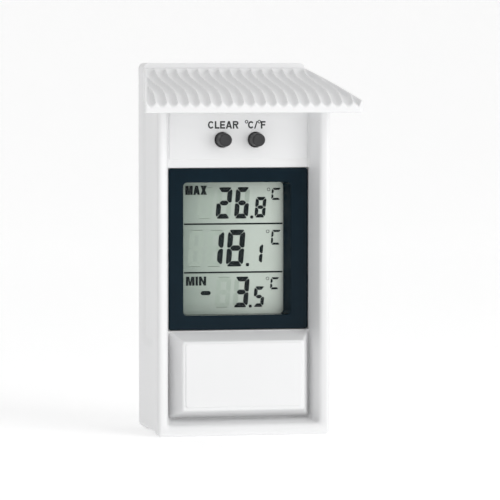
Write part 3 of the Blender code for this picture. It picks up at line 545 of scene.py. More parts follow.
WHITE = (0.86, 0.862, 0.866)
MATERIALS = {
    "white": moulded("white_plastic", WHITE, 0.42, variation=0.008, relief=0.003, Specular_IOR_Level=0.45),
    "roof": moulded("white_plastic_roof", tinted(WHITE, -0.01), 0.46, variation=0.012),
    "black": moulded(
        "gloss_black", (0.005, 0.0145, 0.0225), 0.12, patch=12.0, variation=0.08, grain=1.6, relief=0.0006,
        Specular_IOR_Level=0.08,
    ),
    "clear": make_clear(),
    "lcd": make_lcd_face(),
    "glass": moulded("lcd_glass_edge", (0.3, 0.36, 0.33), 0.12, variation=0.05, relief=0.0005),
    "segment": moulded(
        "lcd_segment", (0.007, 0.014, 0.015), 0.36, patch=1.5, variation=0.15, relief=0.001,
        Specular_IOR_Level=0.12,
    ),
    "ghost": moulded("lcd_segment_off", (0.5, 0.6, 0.515), 0.34, patch=2.0, relief=0.001),
    "button": moulded(
        "button_rubber", (0.03, 0.03, 0.032), 0.62, patch=2.5, variation=0.12, grain=0.18, relief=0.006,
        Sheen_Weight=0.05, Sheen_Roughness=0.5,
    ),
    "ink": moulded(
        "legend_ink", (0.022, 0.024, 0.026), 0.5, patch=1.2, variation=0.1, grain=0.12, relief=0.002,
    ),
    "zebra": moulded("zebra_elastomer", (0.5, 0.27, 0.3), 0.68, patch=0.8, variation=0.3),
    "board": make_board_finish(),
    "epoxy": moulded("black_epoxy", (0.012, 0.012, 0.013), 0.22, patch=3.0, variation=0.2, relief=0.003),
    "nickel": metal("nickel_plate", (0.72, 0.71, 0.68), 0.24, (1.0, 6.0, 1.0)),
    "zinc": metal("zinc_screw", (0.62, 0.63, 0.65), 0.3),
    "cell": make_cell_jacket(),
    "ceramic": moulded("ceramic", (0.52, 0.3, 0.12), 0.45, patch=0.6, variation=0.12, grain=0.1),
    "red": moulded("red_wire", (0.5, 0.012, 0.01), 0.38, patch=3.0, variation=0.08, grain=0.2),
    "dark": moulded("black_wire", (0.015, 0.015, 0.016), 0.4, patch=3.0, variation=0.15, grain=0.2),
}


# Roof


def ease(share):
    share = min(max(share, 0.0), 1.0)
    return share * share * (3 - 2 * share)


def roof_top(y):
    """Height of the crests at a depth. The roof falls away to the front in a gentle arc."""
    out = FRONT_BACK_Y - y
    return ROOF_BACK_Z - ROOF_SLOPE * out - ROOF_CURVE * out * out


def roof_bottom(y):
    return roof_top(y) - ROOF_THICKNESS


def flute(x, y):
    """Depth below the crest as a share: 0 on a crest and 1 in the middle of a flute. The flutes sway."""
    sway = RIB_SWAY_MIDDLE + RIB_SWAY * cos(2 * pi * (y - RIB_SWAY_PEAK_Y) / RIB_SWAY_LENGTH)
    wave = abs(sin(pi * (x - sway) / RIB_PITCH))
    return sqrt(wave * wave + RIB_SHARPNESS**2) - RIB_SHARPNESS * (1 - wave)


def roof_surface(x, y):
    """The fluted top. The flutes close over a short run at the back and beside the plain border."""
    half = ROOF_CORNER_HALF - ROOF_SPLAY * (y - ROOF_Y[0])
    at_side = ease((half - abs(x)) / ROOF_BORDER - 0.5)
    at_back = sqrt(ease((FRONT_BACK_Y - y) / RIB_END_LENGTH))
    return roof_top(y) - RIB_DEPTH * flute(x, y) * at_side * at_back


def roof_column(x, rows):
    """A closed line round the roof's section at one place across it, as (y, z)."""
    back = FRONT_BACK_Y - max(abs(x) - ROOF_BACK_HALF, 0.0) / ROOF_SPLAY
    past = max(abs(x) - ROOF_FRONT_HALF + ROOF_TIP_RADIUS, 0.0)
    front = ROOF_Y[0] + ROOF_TIP_RADIUS - sqrt(ROOF_TIP_RADIUS**2 - past * past)
    radius = min(ROOF_TOP_EDGE, (back - front) / 2)
    line = []
    for row in range(rows + 1):
        share = 0.5 - 0.5 * cos(pi * row / rows)
        y = back + (front + radius - back) * share
        line.append((y, roof_surface(x, y)))
    high, low = roof_surface(x, front + radius), roof_bottom(front)
    line += [(front + inset, high - depth) for inset, depth in edge_arc(radius)[1:]]
    radius = min(ROOF_LOW_EDGE, (back - front) / 2)
    line += [(front + depth, low + inset) for inset, depth in edge_arc(radius, 3)]
    line += [(y, roof_bottom(y)) for y in spaced(front + radius, back, 6)[1:]]
    return line


def make_roof():
    """The hood, lofted from side to side with a dozen columns to each rib."""
    per_rib, rows, tip = 12, 48, 0.02
    columns = round(2 * ROOF_FRONT_HALF / RIB_PITCH) * per_rib
    sections = []
    for x in spaced(-ROOF_FRONT_HALF, ROOF_FRONT_HALF, columns):
        x = min(max(x, tip - ROOF_FRONT_HALF), ROOF_FRONT_HALF - tip)
        sections.append((x, roof_column(x, rows)))
    finish(side_loft("hood", sections), "roof", ("roof",), sharp=50.0)


# Front housing


def housing_outline(y, inset=0.0):
    """The front housing's outline at a depth: a slightly proud rim, then the body."""
    back = ease((y - FLANGE_Y[0]) / (FLANGE_Y[1] - FLANGE_Y[0]))
    half = FRONT_X[1] - BODY_INSET * back - inset
    low = FRONT_Z[0] + BODY_RAISE * back + inset
    corner = RIM_CORNER + (BODY_CORNER - RIM_CORNER) * back
    return rounded((-half, half), (low, HEIGHT), max(corner - inset, 0.3))


def housing_shell():
    sections = [(RIM_Y + depth, housing_outline(RIM_Y, inset)) for inset, depth in edge_arc(EDGE_RADIUS, 8)]
    sections += [(y, housing_outline(y)) for y in spaced(*FLANGE_Y, 10)[1:]]
    sections.append((FRONT_BACK_Y, housing_outline(FRONT_BACK_Y)))
    return loft("front_case", sections)


def recess_cutter():
    """The recess, with a round lip at its mouth and a small fillet at its floor."""
    run = FLOOR_Y - RIM_Y
    radius = RECESS_LIP_RADIUS
    places = [(-PAST, radius)]
    for angle in spaced(0.0, pi / 2, 8):
        left = 1 - sin(angle)
        places.append((radius * sin(angle), radius * (1 - sqrt(1 - left * left))))
    places += [(run - inset, -depth) for inset, depth in edge_arc(RECESS_FILLET, 4)]
    sections = []
    for depth, spread in places:
        half, low, high = between(RECESS_RIM, RECESS_FLOOR, depth / run)
        outline = rounded(about(0.0, half + spread), grow((low, high), spread), RECESS_CORNER + spread / 2)
        sections.append((RIM_Y + depth, outline))
    return loft("recess", sections)


def roof_line(start, end, steps, drop):
    """Points under the roof's underside, as (y, z)."""
    return [(y, roof_bottom(min(y, FRONT_BACK_Y)) - drop) for y in spaced(start, end, steps)]


def side_panel_cutter(side):
    """The shallow scoop in a flank: it deepens gently towards its middle."""
    surface = FRONT_X[1] - BODY_INSET
    sections = []
    for depth, shrink in SIDE_PANEL_STEPS:
        up = (SIDE_PANEL_Z[0] + shrink, SIDE_PANEL_Z[1])
        corner = SIDE_PANEL_CORNER - shrink * 0.4
        outline = rounded(grow(SIDE_PANEL_Y, -shrink), up, corner)
        sections.append((side * (surface - SIDE_PANEL_DEPTH * depth), outline))
    return side_loft(f"side_panel_{side}", sections)


def housing_body():
    """The case with its recess and its hollow, cut to fit under the roof."""
    far_y = grow((RIM_Y, FRONT_BACK_Y), FAR)
    outline = roof_line(*far_y, 16, GAP)
    outline += [(far_y[1], HEIGHT + 2 * FAR), (far_y[0], HEIGHT + 2 * FAR)]
    above = [(x, outline) for x in grow(FRONT_X, FAR)]
    low, back = WALL + BODY_RAISE, FRONT_BACK_Y + PAST
    hollow = [(FLOOR_BACK_Y, low), *roof_line(FLOOR_BACK_Y, back, 6, GAP + WALL), (back, low)]
    inside = [(x, hollow) for x in grow(FRONT_X, -SIDE_WALL)]
    tools = [side_loft("under_roof", above), recess_cutter(), side_loft("inside", inside)]
    for side in (-1, 1):
        across = sorted((side * ROOF_BACK_HALF, side * (FRONT_X[1] + FAR)))
        tools.append(block(f"shoulder_{side}", across, far_y, (SHOULDER_Z, HEIGHT + FAR)))
    return cut(housing_shell(), *tools)


def tab_slot(side):
    """The slot in the bay's floor for a contact's tab."""
    contact = middle(span("contact_negative" if side < 0 else "contact_positive")[0])
    slot_x = about(contact, TAB_SLOT_HALF[0])
    slot_z = about(middle(BATTERY_Z), TAB_SLOT_HALF[1])
    return block(f"tab_slot_{side}", slot_x, grow((BAY_FLOOR_Y, BAY_BACK_Y), PAST), slot_z)


def button_hole(name):
    front = FLOOR_Y - BUTTON_PANEL_RISE
    mouth = BUTTON_HOLE_RADIUS + HOLE_CHAMFER
    profile = (
        (mouth + PAST, front - PAST),
        (mouth, front),
        (BUTTON_HOLE_RADIUS, front + HOLE_CHAMFER),
        (BUTTON_HOLE_RADIUS, FLOOR_BACK_Y + PAST),
    )
    return turned(f"button_hole_{name}", profile, place_of(f"button_{name}"))


def make_front_housing():
    housing = housing_body()
    walls_y = (FLOOR_BACK_Y - PAST, BAY_BACK_Y)
    solids = [block("bay", about(0.0, BAY_HALF + BAY_WALL), walls_y, grow(BAY_Z, BAY_WALL))]
    half, *panel_z = BUTTON_PANEL
    panel_y = (FLOOR_Y - BUTTON_PANEL_RISE, FLOOR_Y + PAST)
    solids.append(slab("button_panel", about(0.0, half), panel_y, panel_z, corner=0.6, edge=0.2))
    for name, place in HOUSING_SCREWS.items():
        start = FLOOR_BACK_Y if name.startswith("upper") else BAY_BACK_Y
        solids.append(rod(f"boss_{name}", BOSS_RADIUS, (start - PAST, FRONT_BACK_Y), place))
    join(housing, *solids)
    tools = [slab("bay_hollow", about(0.0, BAY_HALF), (FLOOR_Y - FAR, BAY_FLOOR_Y), BAY_Z, corner=0.8)]
    for side in (-1, 1):
        tools += [tab_slot(side), side_panel_cutter(side)]
    pocket_y = (FLOOR_Y - 2 * PAST, FLOOR_Y + BEZEL_THICKNESS + GAP)
    tools.append(block("bezel_pocket", grow(BEZEL_X, GAP), pocket_y, grow(BEZEL_Z, GAP)))
    margin = FUNNEL_WALL + GAP
    opening_y = grow((FLOOR_Y, FLOOR_BACK_Y), PAST)
    tools.append(block("display_opening", grow(WINDOW_X, margin), opening_y, grow(WINDOW_Z, margin)))
    tools += [button_hole(name) for name in BUTTONS]
    cut(housing, *tools)
    for name, place in HOUSING_SCREWS.items():
        pilot_y = (FRONT_BACK_Y - PILOT_DEPTH, FRONT_BACK_Y + PAST)
        cut(housing, rod(f"pilot_{name}", PILOT_RADIUS, pilot_y, place))
    finish(housing, "white", ("front_housing",))


# Rear housing


def keyhole_outline():
    """A round hole for a screw head with a narrower slot above it."""
    join_angle = degrees(asin(KEYHOLE_SLOT_HALF / KEYHOLE_RADIUS))
    hole = (KEYHOLE_RADIUS, KEYHOLE_RADIUS)
    slot = (KEYHOLE_SLOT_HALF, KEYHOLE_SLOT_HALF)
    points = arc((0.0, KEYHOLE_Z), hole, 90 + join_angle, 450 - join_angle, 40)
    return points + arc((0.0, KEYHOLE_SLOT_TOP - KEYHOLE_SLOT_HALF), slot, 0, 180, 20)


def counterbore(name, place):
    floor = BACK_Y - COUNTERBORE_DEPTH
    mouth = COUNTERBORE_RADIUS + COUNTERBORE_CHAMFER
    profile = (
        (CLEARANCE_RADIUS, SEAM_Y - PAST),
        (CLEARANCE_RADIUS, floor),
        (COUNTERBORE_RADIUS, floor),
        (COUNTERBORE_RADIUS, BACK_Y - COUNTERBORE_CHAMFER),
        (mouth, BACK_Y),
        (mouth + PAST, BACK_Y + PAST),
    )
    return turned(f"counterbore_{name}", profile, place, segments=40)


def make_rear_housing():
    inner_back = BACK_Y - WALL
    merge_y = BACK_Y - WALL / 2
    housing = slab("rear_case", REAR_X, REAR_Y, REAR_Z, REAR_CORNER, edge=0.25, back_edge=REAR_EDGE_RADIUS)
    hollow_z = (WALL, HEIGHT - 2 * WALL)
    hollow = slab("rear_hollow", grow(REAR_X, -WALL), (SEAM_Y - PAST, inner_back), hollow_z, corner=1.0)
    cut(housing, hollow)
    solids = []
    for name, place in HOUSING_SCREWS.items():
        solids.append(rod(f"rear_boss_{name}", REAR_BOSS_RADIUS, (SEAM_Y + 0.05, merge_y), place))
    half, *pocket_z = KEYHOLE_POCKET
    wall = KEYHOLE_POCKET_WALL
    inner_y = inner_back - KEYHOLE_POCKET_DEPTH
    solids.append(block("pocket", about(0.0, half + wall), (inner_y - wall, merge_y), grow(pocket_z, wall)))
    join(housing, *solids)
    tools = [block("pocket_hollow", about(0.0, half), (inner_y, inner_back), pocket_z)]
    tools.append(loft("keyhole", [(y, keyhole_outline()) for y in grow((inner_back, BACK_Y), PAST)]))
    tools += [counterbore(name, place) for name, place in HOUSING_SCREWS.items()]
    for index in range(VENTS):
        centre = VENT_PITCH * (index - (VENTS - 1) / 2)
        tools.append(block(f"vent_{index}", about(centre, VENT_HALF), VENT_Y, (-2 * PAST, WALL + PAST)))
    cut(housing, *tools)
    finish(housing, "white", ("rear_housing",))


# Display


def window_sections(front, back):
    """The funnel's opening: rounded at its mouth and drawing in towards the display."""
    places = [(front - PAST, FUNNEL_LIP_RADIUS)]
    places += [(front + depth, inset) for inset, depth in edge_arc(FUNNEL_LIP_RADIUS, 4)]
    places.append((back, 0.0))
    sections = []
    for y, lip in places:
        share = max(y - FLOOR_Y, 0.0) / (BEZEL_Y[1] - FLOOR_Y)
        left, right, end = (taper * share - lip for taper in FUNNEL_TAPER)
        x = (WINDOW_X[0] + left, WINDOW_X[1] - right)
        sections.append((y, rounded(x, grow(WINDOW_Z, -end), WINDOW_RADIUS + lip)))
    return sections


def make_bezel():
    plate_back = FLOOR_Y + BEZEL_THICKNESS
    bezel = slab("bezel", BEZEL_X, (FLOOR_Y, plate_back), BEZEL_Z, corner=0.9, edge=0.5)
    skirt_y = (plate_back - 0.5, BEZEL_Y[1])
    skirt = slab("funnel", grow(WINDOW_X, FUNNEL_WALL), skirt_y, grow(WINDOW_Z, FUNNEL_WALL), corner=1.8)
    opening = loft("funnel_opening", window_sections(FLOOR_Y, BEZEL_Y[1] + PAST))
    join(bezel, skirt)
    cut(bezel, opening)
    finish(bezel, "black", ("display_bezel",))


SEGMENTS = {"1": "bc", "2": "abged", "3": "abgcd", "5": "afgcd", "6": "afgcde", "8": "abcdefg", "C": "afed"}


def mirrored(points, width=None, height=None):
    """The points mirrored within a width, a height or both."""
    return [(x if width is None else width - x, z if height is None else height - z) for x, z in points]


def segment_shapes(width, height, stroke, gap):
    """Outlines of the seven segments of a digit whose low left corner is at the origin."""
    half, mid, bevel = stroke / 2, height / 2, stroke * 0.3
    inner = stroke + gap * 0.6
    left = [
        (0.0, mid + gap / 2 + bevel * 0.4), (half, mid + gap / 2), (stroke, mid + half + gap),
        (stroke, height - stroke - gap), (bevel * 0.8, height - bevel - gap), (0.0, height - 2 * bevel - gap),
    ]
    top = [
        (bevel * 0.6 + gap, height - bevel * 0.35), (bevel * 1.4 + gap, height),
        (width - bevel * 1.4 - gap, height), (width - bevel * 0.6 - gap, height - bevel * 0.35),
        (width - stroke * 0.85 - gap, height - stroke), (stroke * 0.85 + gap, height - stroke),
    ]
    centre = [
        (half + gap, mid), (inner, mid + half), (width - inner, mid + half),
        (width - half - gap, mid), (width - inner, mid - half), (inner, mid - half),
    ]
    return {
        "a": top, "b": mirrored(left, width), "c": mirrored(left, width, height), "g": centre,
        "d": mirrored(top, None, height), "e": mirrored(left, None, height), "f": left,
    }


LETTER_WIDTHS = {"A": 1.1, "C": 1.08, "E": 0.88, "F": 0.84, "L": 0.8, "M": 1.2, "N": 1.0, "R": 1.0, "X": 1.05}


def letter_shapes(letter, w, h, t):
    """Outlines of a plain bold capital w wide and h high, with strokes t wide, as touching polygons."""
    mid = h / 2
    stem = [(0, 0), (t, 0), (t, h), (0, h)]
    if letter == "A":
        rise = h / (w / 2 - 0.55 * t)
        low, high = 0.2 * h, 0.2 * h + 0.85 * t
        left = [(0, 0), (1.05 * t, 0), (w / 2, rise * (w / 2 - 1.05 * t)), (w / 2, h), (w / 2 - 0.55 * t, h)]
        inner = [1.05 * t + z / rise for z in (low, high)]
        bar = [(inner[0], low), (w - inner[0], low), (w - inner[1], high), (inner[1], high)]
        return [left, mirrored(left, w), bar]
    if letter == "C":
        outer = arc((w / 2, mid), (w / 2, mid), 38, 322, 24)
        inner = arc((w / 2, mid), (w / 2 - t, mid - t), 322, 38, 24)
        return [outer + inner]
    if letter in "EF":
        low = [(t, 0)] if letter == "F" else [(w, 0), (w, t), (t, t)]
        reach = 0.92 * w
        arm = [(t, mid - t / 2), (reach, mid - t / 2), (reach, mid + t / 2), (t, mid + t / 2)]
        return [[(0, 0), *low, *arm, (t, h - t), (w, h - t), (w, h), (0, h)]]
    if letter == "L":
        return [[(0, 0), (w, 0), (w, t), (t, t), (t, h), (0, h)]]
    if letter == "M":
        left = [(w / 2 - 0.42 * t, 0), (t, 0.66 * h), (t, 0), (0, 0), (0, h), (1.35 * t, h)]
        left.append((w / 2, 0.36 * h))
        return [left + mirrored(left[-2::-1], w)]
    if letter == "N":
        step = 0.44 * h
        left = [(w - t, step), (t, h), (0, h), (0, 0), (t, 0), (t, h - step)]
        return [left + mirrored(left, w, h)]
    if letter == "R":
        low, bend = 0.44 * h, 0.28 * h
        corner = (w - bend, low + bend)
        outer = [(t, low), *arc(corner, (bend, bend), -90, 90, 12), (t, h)]
        inner = [(t, h - t), *arc(corner, (bend - t * 0.95, bend - t), 90, -90, 12), (t, low + t)]
        leg = [(0.42 * w, low), (w - t * 1.15, 0), (w, 0), (0.42 * w + 1.2 * t, low)]
        return [stem, outer + inner, leg]
    if letter == "X":
        arm = [(w / 2 - 0.6 * t, mid), (0, 0), (1.25 * t, 0), (w / 2, mid - 0.8 * t)]
        arm += [(w - 1.25 * t, 0), (w, 0)]
        return [arm + mirrored(arm, w, h)]
    return [stem]


class Print:
    """Flat shapes on a face, gathered into one mesh and then given a little thickness."""

    def __init__(self, name, face_y, rise):
        self.name, self.face_y, self.rise = name, face_y, rise
        self.bm = bmesh.new()

    def polygon(self, points, soften=0.0):
        verts = [self.bm.verts.new((x * MM, self.face_y * MM, z * MM)) for x, z in points]
        self.bm.faces.new(verts)
        if soften:
            sizes = {"offset": soften * MM, "segments": 3, "profile": 0.5}
            bmesh.ops.bevel(self.bm, geom=verts, affect="VERTICES", **sizes)

    def ring(self, x, z, radius, stroke, steps=24):
        inner, outer = [], []
        for step in range(steps):
            angle = 2 * pi * step / steps
            for points, r in ((inner, radius - stroke), (outer, radius)):
                place = (x + r * cos(angle), self.face_y, z + r * sin(angle))
                points.append(self.bm.verts.new(Vector(place) * MM))
        add_ring_faces(self.bm, inner, outer)

    def digit(self, figure, x, z, stroke, slant=0.08, gap=0.12, only=None):
        """A seven-segment figure that fills the two ranges, leaning to the right."""
        width = x[1] - x[0] - slant * (z[1] - z[0])
        shapes = segment_shapes(width, z[1] - z[0], stroke, gap)
        for key in SEGMENTS[figure] if only is None else only:
            points = [(x[0] + px + slant * pz, z[0] + pz) for px, pz in shapes[key]]
            self.polygon(points, stroke * 0.2)

    def word(self, body, x, z, stroke, gap):
        """Capitals that fill the two ranges. Each takes its share of the width."""
        shares = [0.0 if letter == "I" else LETTER_WIDTHS[letter] for letter in body]
        room = x[1] - x[0] - gap * (len(body) - 1) - stroke * body.count("I")
        place = x[0]
        for letter, share in zip(body, shares):
            width = stroke if letter == "I" else room * share / sum(shares)
            for points in letter_shapes(letter, width, z[1] - z[0], stroke):
                self.polygon([(place + px, z[0] + pz) for px, pz in points])
            place += width + gap

    def done(self, key):
        bmesh.ops.remove_doubles(self.bm, verts=self.bm.verts, dist=0.002 * MM)
        faces = list(self.bm.faces)
        for face in faces:
            face.normal_update()
            if face.normal.y > 0:
                face.normal_flip()
        grown = bmesh.ops.extrude_face_region(self.bm, geom=faces, use_keep_orig=True)
        for vert in (part for part in grown["geom"] if isinstance(part, bmesh.types.BMVert)):
            vert.co.y -= self.rise * MM
        finish(solid(self.name, self.bm), key, sharp=40.0)


# What the display shows, from the top: figures, their places and their stroke widths
LCD_ROWS = (
    {
        "large": (("2", (-7.0, -0.65)), ("6", (-0.25, 5.75))), "ghost": (-13.8, -7.45),
        "z": (76.4, 87.6), "stroke": 1.74, "point": (6.3, 76.9, 0.55),
        "small": ("8", (7.25, 11.75), (76.7, 84.1)), "unit": ((13.4, 17.2), (82.95, 87.3)),
        "degree": (12.5, 86.75),
    },
    {
        "large": (("1", (-10.6, -3.6)), ("8", (-3.3, 4.1))), "ghost": (-17.3, -10.9),
        "z": (59.25, 72.4), "stroke": 1.95, "point": (4.75, 59.85, 0.58),
        "small": ("1", (6.0, 10.6), (59.95, 67.6)), "unit": ((13.25, 17.2), (66.9, 72.2)),
        "degree": (12.15, 71.7),
    },
    {
        "large": (("3", (-0.75, 5.6)),), "ghost": (-7.4, -1.1),
        "z": (44.55, 55.55), "stroke": 1.72, "point": (5.75, 44.95, 0.52),
        "small": ("5", (6.75, 11.15), (44.65, 52.0)), "unit": ((13.0, 16.6), (50.85, 55.2)),
        "degree": (12.1, 54.8),
    },
)
LCD_LINES = (74.52, 57.17)
LCD_LINE_X = (-18.45, 17.6)
LCD_LINE_HALF = 0.29
MAX_PLACE = ((-17.95, -10.1), (85.0, 88.25))
MIN_PLACE = ((-17.75, -10.4), (52.55, 55.75))
MINUS_PLACE = ((-12.5, -8.6), (49.07, 50.57))
SMALL_STROKE = 1.25
UNIT_STROKE = 0.74
WORD_STROKE = 0.88


def make_lcd():
    face = LCD_Y[0]
    polariser_back = face + POLARISER_THICKNESS
    glass_y = (polariser_back, LCD_Y[1])
    glass = slab("lcd_glass", LCD_X, glass_y, LCD_Z, corner=0.4, edge=0.15, back_edge=0.15)
    finish(glass, "glass")
    sheet_x, sheet_z = grow(LCD_X, -POLARISER_MARGIN), grow(LCD_Z, -POLARISER_MARGIN)
    sheet = slab("lcd_polariser", sheet_x, (face, polariser_back - FIGURE_LIFT), sheet_z, corner=0.3)
    finish(sheet, "lcd", ("lcd_panel",))
    figures = Print("lcd_figures", face - FIGURE_LIFT, SEGMENT_RISE)
    ghosts = Print("lcd_idle_segments", face - FIGURE_LIFT, SEGMENT_RISE / 3)
    words = Print("lcd_words", face - FIGURE_LIFT, SEGMENT_RISE)
    for row in LCD_ROWS:
        size = (row["z"], row["stroke"])
        for figure, x in row["large"]:
            figures.digit(figure, x, *size)
            idle = [key for key in "abcdefg" if key not in SEGMENTS[figure]]
            ghosts.digit(figure, x, *size, only=idle)
        ghosts.digit("8", row["ghost"], *size)
        figures.digit(*row["small"], SMALL_STROKE)
        x, z, half = row["point"]
        figures.polygon(rounded(about(x, half), about(z, half), half * 0.6, steps=4))
        figures.digit("C", *row["unit"], UNIT_STROKE, gap=0.16)
        figures.ring(*row["degree"], radius=0.6, stroke=0.16)
    (left, right), (low, high) = MINUS_PLACE
    tip = (high - low) / 2
    inner = (left + tip * 0.7, right - tip * 0.7)
    minus = [(left, low + tip), (inner[0], high), (inner[1], high)]
    minus += [(right, low + tip), (inner[1], low), (inner[0], low)]
    figures.polygon(minus, soften=0.3)
    left, right = LCD_LINE_X
    for low, high in (about(z, LCD_LINE_HALF) for z in LCD_LINES):
        figures.polygon([(left, low), (right, low), (right, high), (left, high)])
    words.word("MAX", *MAX_PLACE, WORD_STROKE, gap=0.2)
    words.word("MIN", *MIN_PLACE, WORD_STROKE, gap=0.38)
    figures.done("segment")
    ghosts.done("ghost")
    words.done("segment")


def make_pane():
    pane = slab("window_pane", *span("display_window"), corner=1.0, edge=0.12, back_edge=0.12)
    finish(pane, "clear", ("display_window",))


# Legends and buttons

CLEAR_LEGEND = ((-11.2, -0.1), (108.7, 111.4))
LETTER_Z = (108.7, 111.35)
UNIT_LETTERS = (("C", (3.35, 5.55)), ("F", (8.05, 9.75)))
UNIT_RINGS = ((2.85, 111.13), (7.5, 111.13))
SLASH = ((5.6, 108.7), (6.08, 108.7), (6.93, 111.35), (6.45, 111.35))
INK_STROKE = 0.56
INK_RISE = 0.02
INK_LIFT = 0.005
CAP_RADIUS = 2.3
CAP_DISH = 0.12
CAP_EDGE_RADIUS = 0.55
COLLAR_RADIUS = 2.45
COLLAR_RISE = 0.9
FLANGE_THICKNESS = 1.0
STEM_RADIUS = 1.5


def make_legends():
    """What each button does, printed above it."""
    face = FLOOR_Y - BUTTON_PANEL_RISE - INK_LIFT
    clear = Print("legend_clear", face, INK_RISE)
    clear.word("CLEAR", *CLEAR_LEGEND, INK_STROKE, gap=0.26)
    unit = Print("legend_unit", face, INK_RISE)
    for letter, x in UNIT_LETTERS:
        unit.word(letter, x, LETTER_Z, INK_STROKE, gap=0.0)
    for x, z in UNIT_RINGS:
        unit.ring(x, z, radius=0.62, stroke=0.3)
    unit.polygon(SLASH)
    clear.done("ink")
    unit.done("ink")


def make_button(name):
    """A rubber-coated cap with a dished face, on a collar, with its flange and stem behind the housing."""
    node = f"button_{name}"
    x, (front, back), _ = span(node)
    flange = (x[1] - x[0]) / 2
    flange_y = (FLOOR_BACK_Y + GAP, FLOOR_BACK_Y + GAP + FLANGE_THICKNESS)
    collar_y = FLOOR_Y - COLLAR_RISE
    dish = ((share, 1 - share * share) for share in (0.02, 0.25, 0.5, 0.65))
    profile = [(CAP_RADIUS * share, front + CAP_DISH * sunk) for share, sunk in dish]
    profile += [(CAP_RADIUS - inset, front + depth) for inset, depth in edge_arc(CAP_EDGE_RADIUS)]
    profile += [(CAP_RADIUS, collar_y - 0.1), (CAP_RADIUS + 0.02, collar_y)]
    profile += [(COLLAR_RADIUS - inset, collar_y + depth) for inset, depth in edge_arc(0.15, 3)]
    profile += [(COLLAR_RADIUS, flange_y[0]), (flange, flange_y[0]), (flange, flange_y[1])]
    profile += [(STEM_RADIUS, flange_y[1]), (STEM_RADIUS, back)]
    button = turned(f"cap_{name}", profile, place_of(node))
    finish(button, "button", (node,), f"{name}_button", sharp=40.0)


# Battery cover, cell and contacts


def cover_outline(y, wall=0.0, corner=1.0):
    """The cover's outline at a depth, as its base draws in to its face."""
    share = (COVER_BASE_Y - y) / (COVER_BASE_Y - COVER_FACE_Y)
    half, low, high = between(COVER_BASE, COVER_FACE, share)
    return rounded(about(0.0, half - wall), grow((low, high), -wall), corner)


def make_cover():
    """The raised cover over the battery bay, with a softly stepped pad on its face."""
    half, low, high = COVER_FACE
    sections = []
    for inset, depth in edge_arc(COVER_EDGE_RADIUS):
        out = COVER_LEAN * depth - inset * 0.75
        corner = max(1.0 - inset * 0.6, 0.3)
        outline = rounded(about(0.0, half + out), grow((low, high), out), corner)
        sections.append((COVER_FACE_Y + depth, outline))
    sections.append((COVER_BASE_Y, cover_outline(COVER_BASE_Y)))
    cover = loft("bay_cover", sections)
    half, *pad_z = COVER_PAD
    pad_y = (COVER_Y[0], COVER_FACE_Y + PAST)
    join(cover, slab("cover_pad", about(0.0, half), pad_y, pad_z, corner=0.9, edge=0.28))
    hollow_y = (COVER_FACE_Y + COVER_WALL, COVER_BASE_Y + PAST)
    hollow = [(y, cover_outline(y, COVER_WALL, corner=0.8)) for y in hollow_y]
    cut(cover, loft("cover_hollow", hollow))
    lip_y = (COVER_BASE_Y - 3.0, COVER_Y[1])
    web_y = (lip_y[0], COVER_BASE_Y - 1.0)
    reach = about(0.0, COVER_LIP_HALF)
    walls = []
    for outer, inner_side in zip(grow(BAY_Z, -GAP), (1, -1)):
        lip = sorted((outer, outer + inner_side * COVER_LIP_WALL))
        web = sorted((outer, outer - inner_side * COVER_LIP_WEB))
        walls.append(slab(f"lip_{inner_side}", reach, lip_y, lip, corner=0.3, back_edge=0.2))
        walls.append(block(f"web_{inner_side}", reach, web_y, web))
    join(cover, *walls)
    finish(cover, "white", ("battery_cover",), "cover")


def make_battery():
    """A round cell: rolled jacket ends, a flat negative end and a stepped positive cap."""
    radius = (BATTERY_Z[1] - BATTERY_Z[0]) / 2
    low, high = BATTERY_X
    nub_length, rim, jacket_end = 1.0, 0.12, edge_arc(0.45, 4)
    shoulder = high - nub_length
    profile = [(0.1, low), (radius - 1.0, low), (radius - 0.9, low + rim)]
    profile += [(radius - inset, low + rim + depth) for inset, depth in jacket_end]
    profile += [(radius - depth, shoulder - rim - inset) for inset, depth in jacket_end]
    profile += [(radius - 0.9, shoulder - rim), (radius - 1.0, shoulder - 0.25), (2.6, shoulder - 0.25)]
    profile += [(2.4, shoulder - 0.05), (1.9, shoulder), (1.9, high - 0.25), (1.65, high), (0.1, high)]
    cell = turned("cell", profile, (middle(BATTERY_Y), middle(BATTERY_Z)), axis="X")
    finish(cell, "cell", ("battery",))


def make_spring():
    """The negative contact's conical spring."""
    x, y, z = span("battery_spring")
    wire = 0.25
    wide = (z[1] - z[0]) / 2 - wire
    narrow, turns, steps = 1.4, 2.5, 32
    curve = bpy.data.curves.new("contact_spring", "CURVE")
    curve.dimensions = "3D"
    curve.bevel_depth = wire * MM
    curve.bevel_resolution = 4
    curve.use_fill_caps = True
    count = int(turns * steps)
    spline = curve.splines.new("POLY")
    spline.points.add(count)
    for index, point in enumerate(spline.points):
        share = index / count
        angle = 2 * pi * index / steps
        radius = wide + (narrow - wide) * share
        place = (
            x[0] + wire + (x[1] - x[0] - 2 * wire) * share,
            middle(BATTERY_Y) + radius * cos(angle),
            middle(BATTERY_Z) + radius * sin(angle),
        )
        point.co = (*(Vector(place) * MM), 1.0)
    spring = new_object("contact_spring", curve)
    finish(spring, "nickel", ("battery_spring",))


# Fasteners


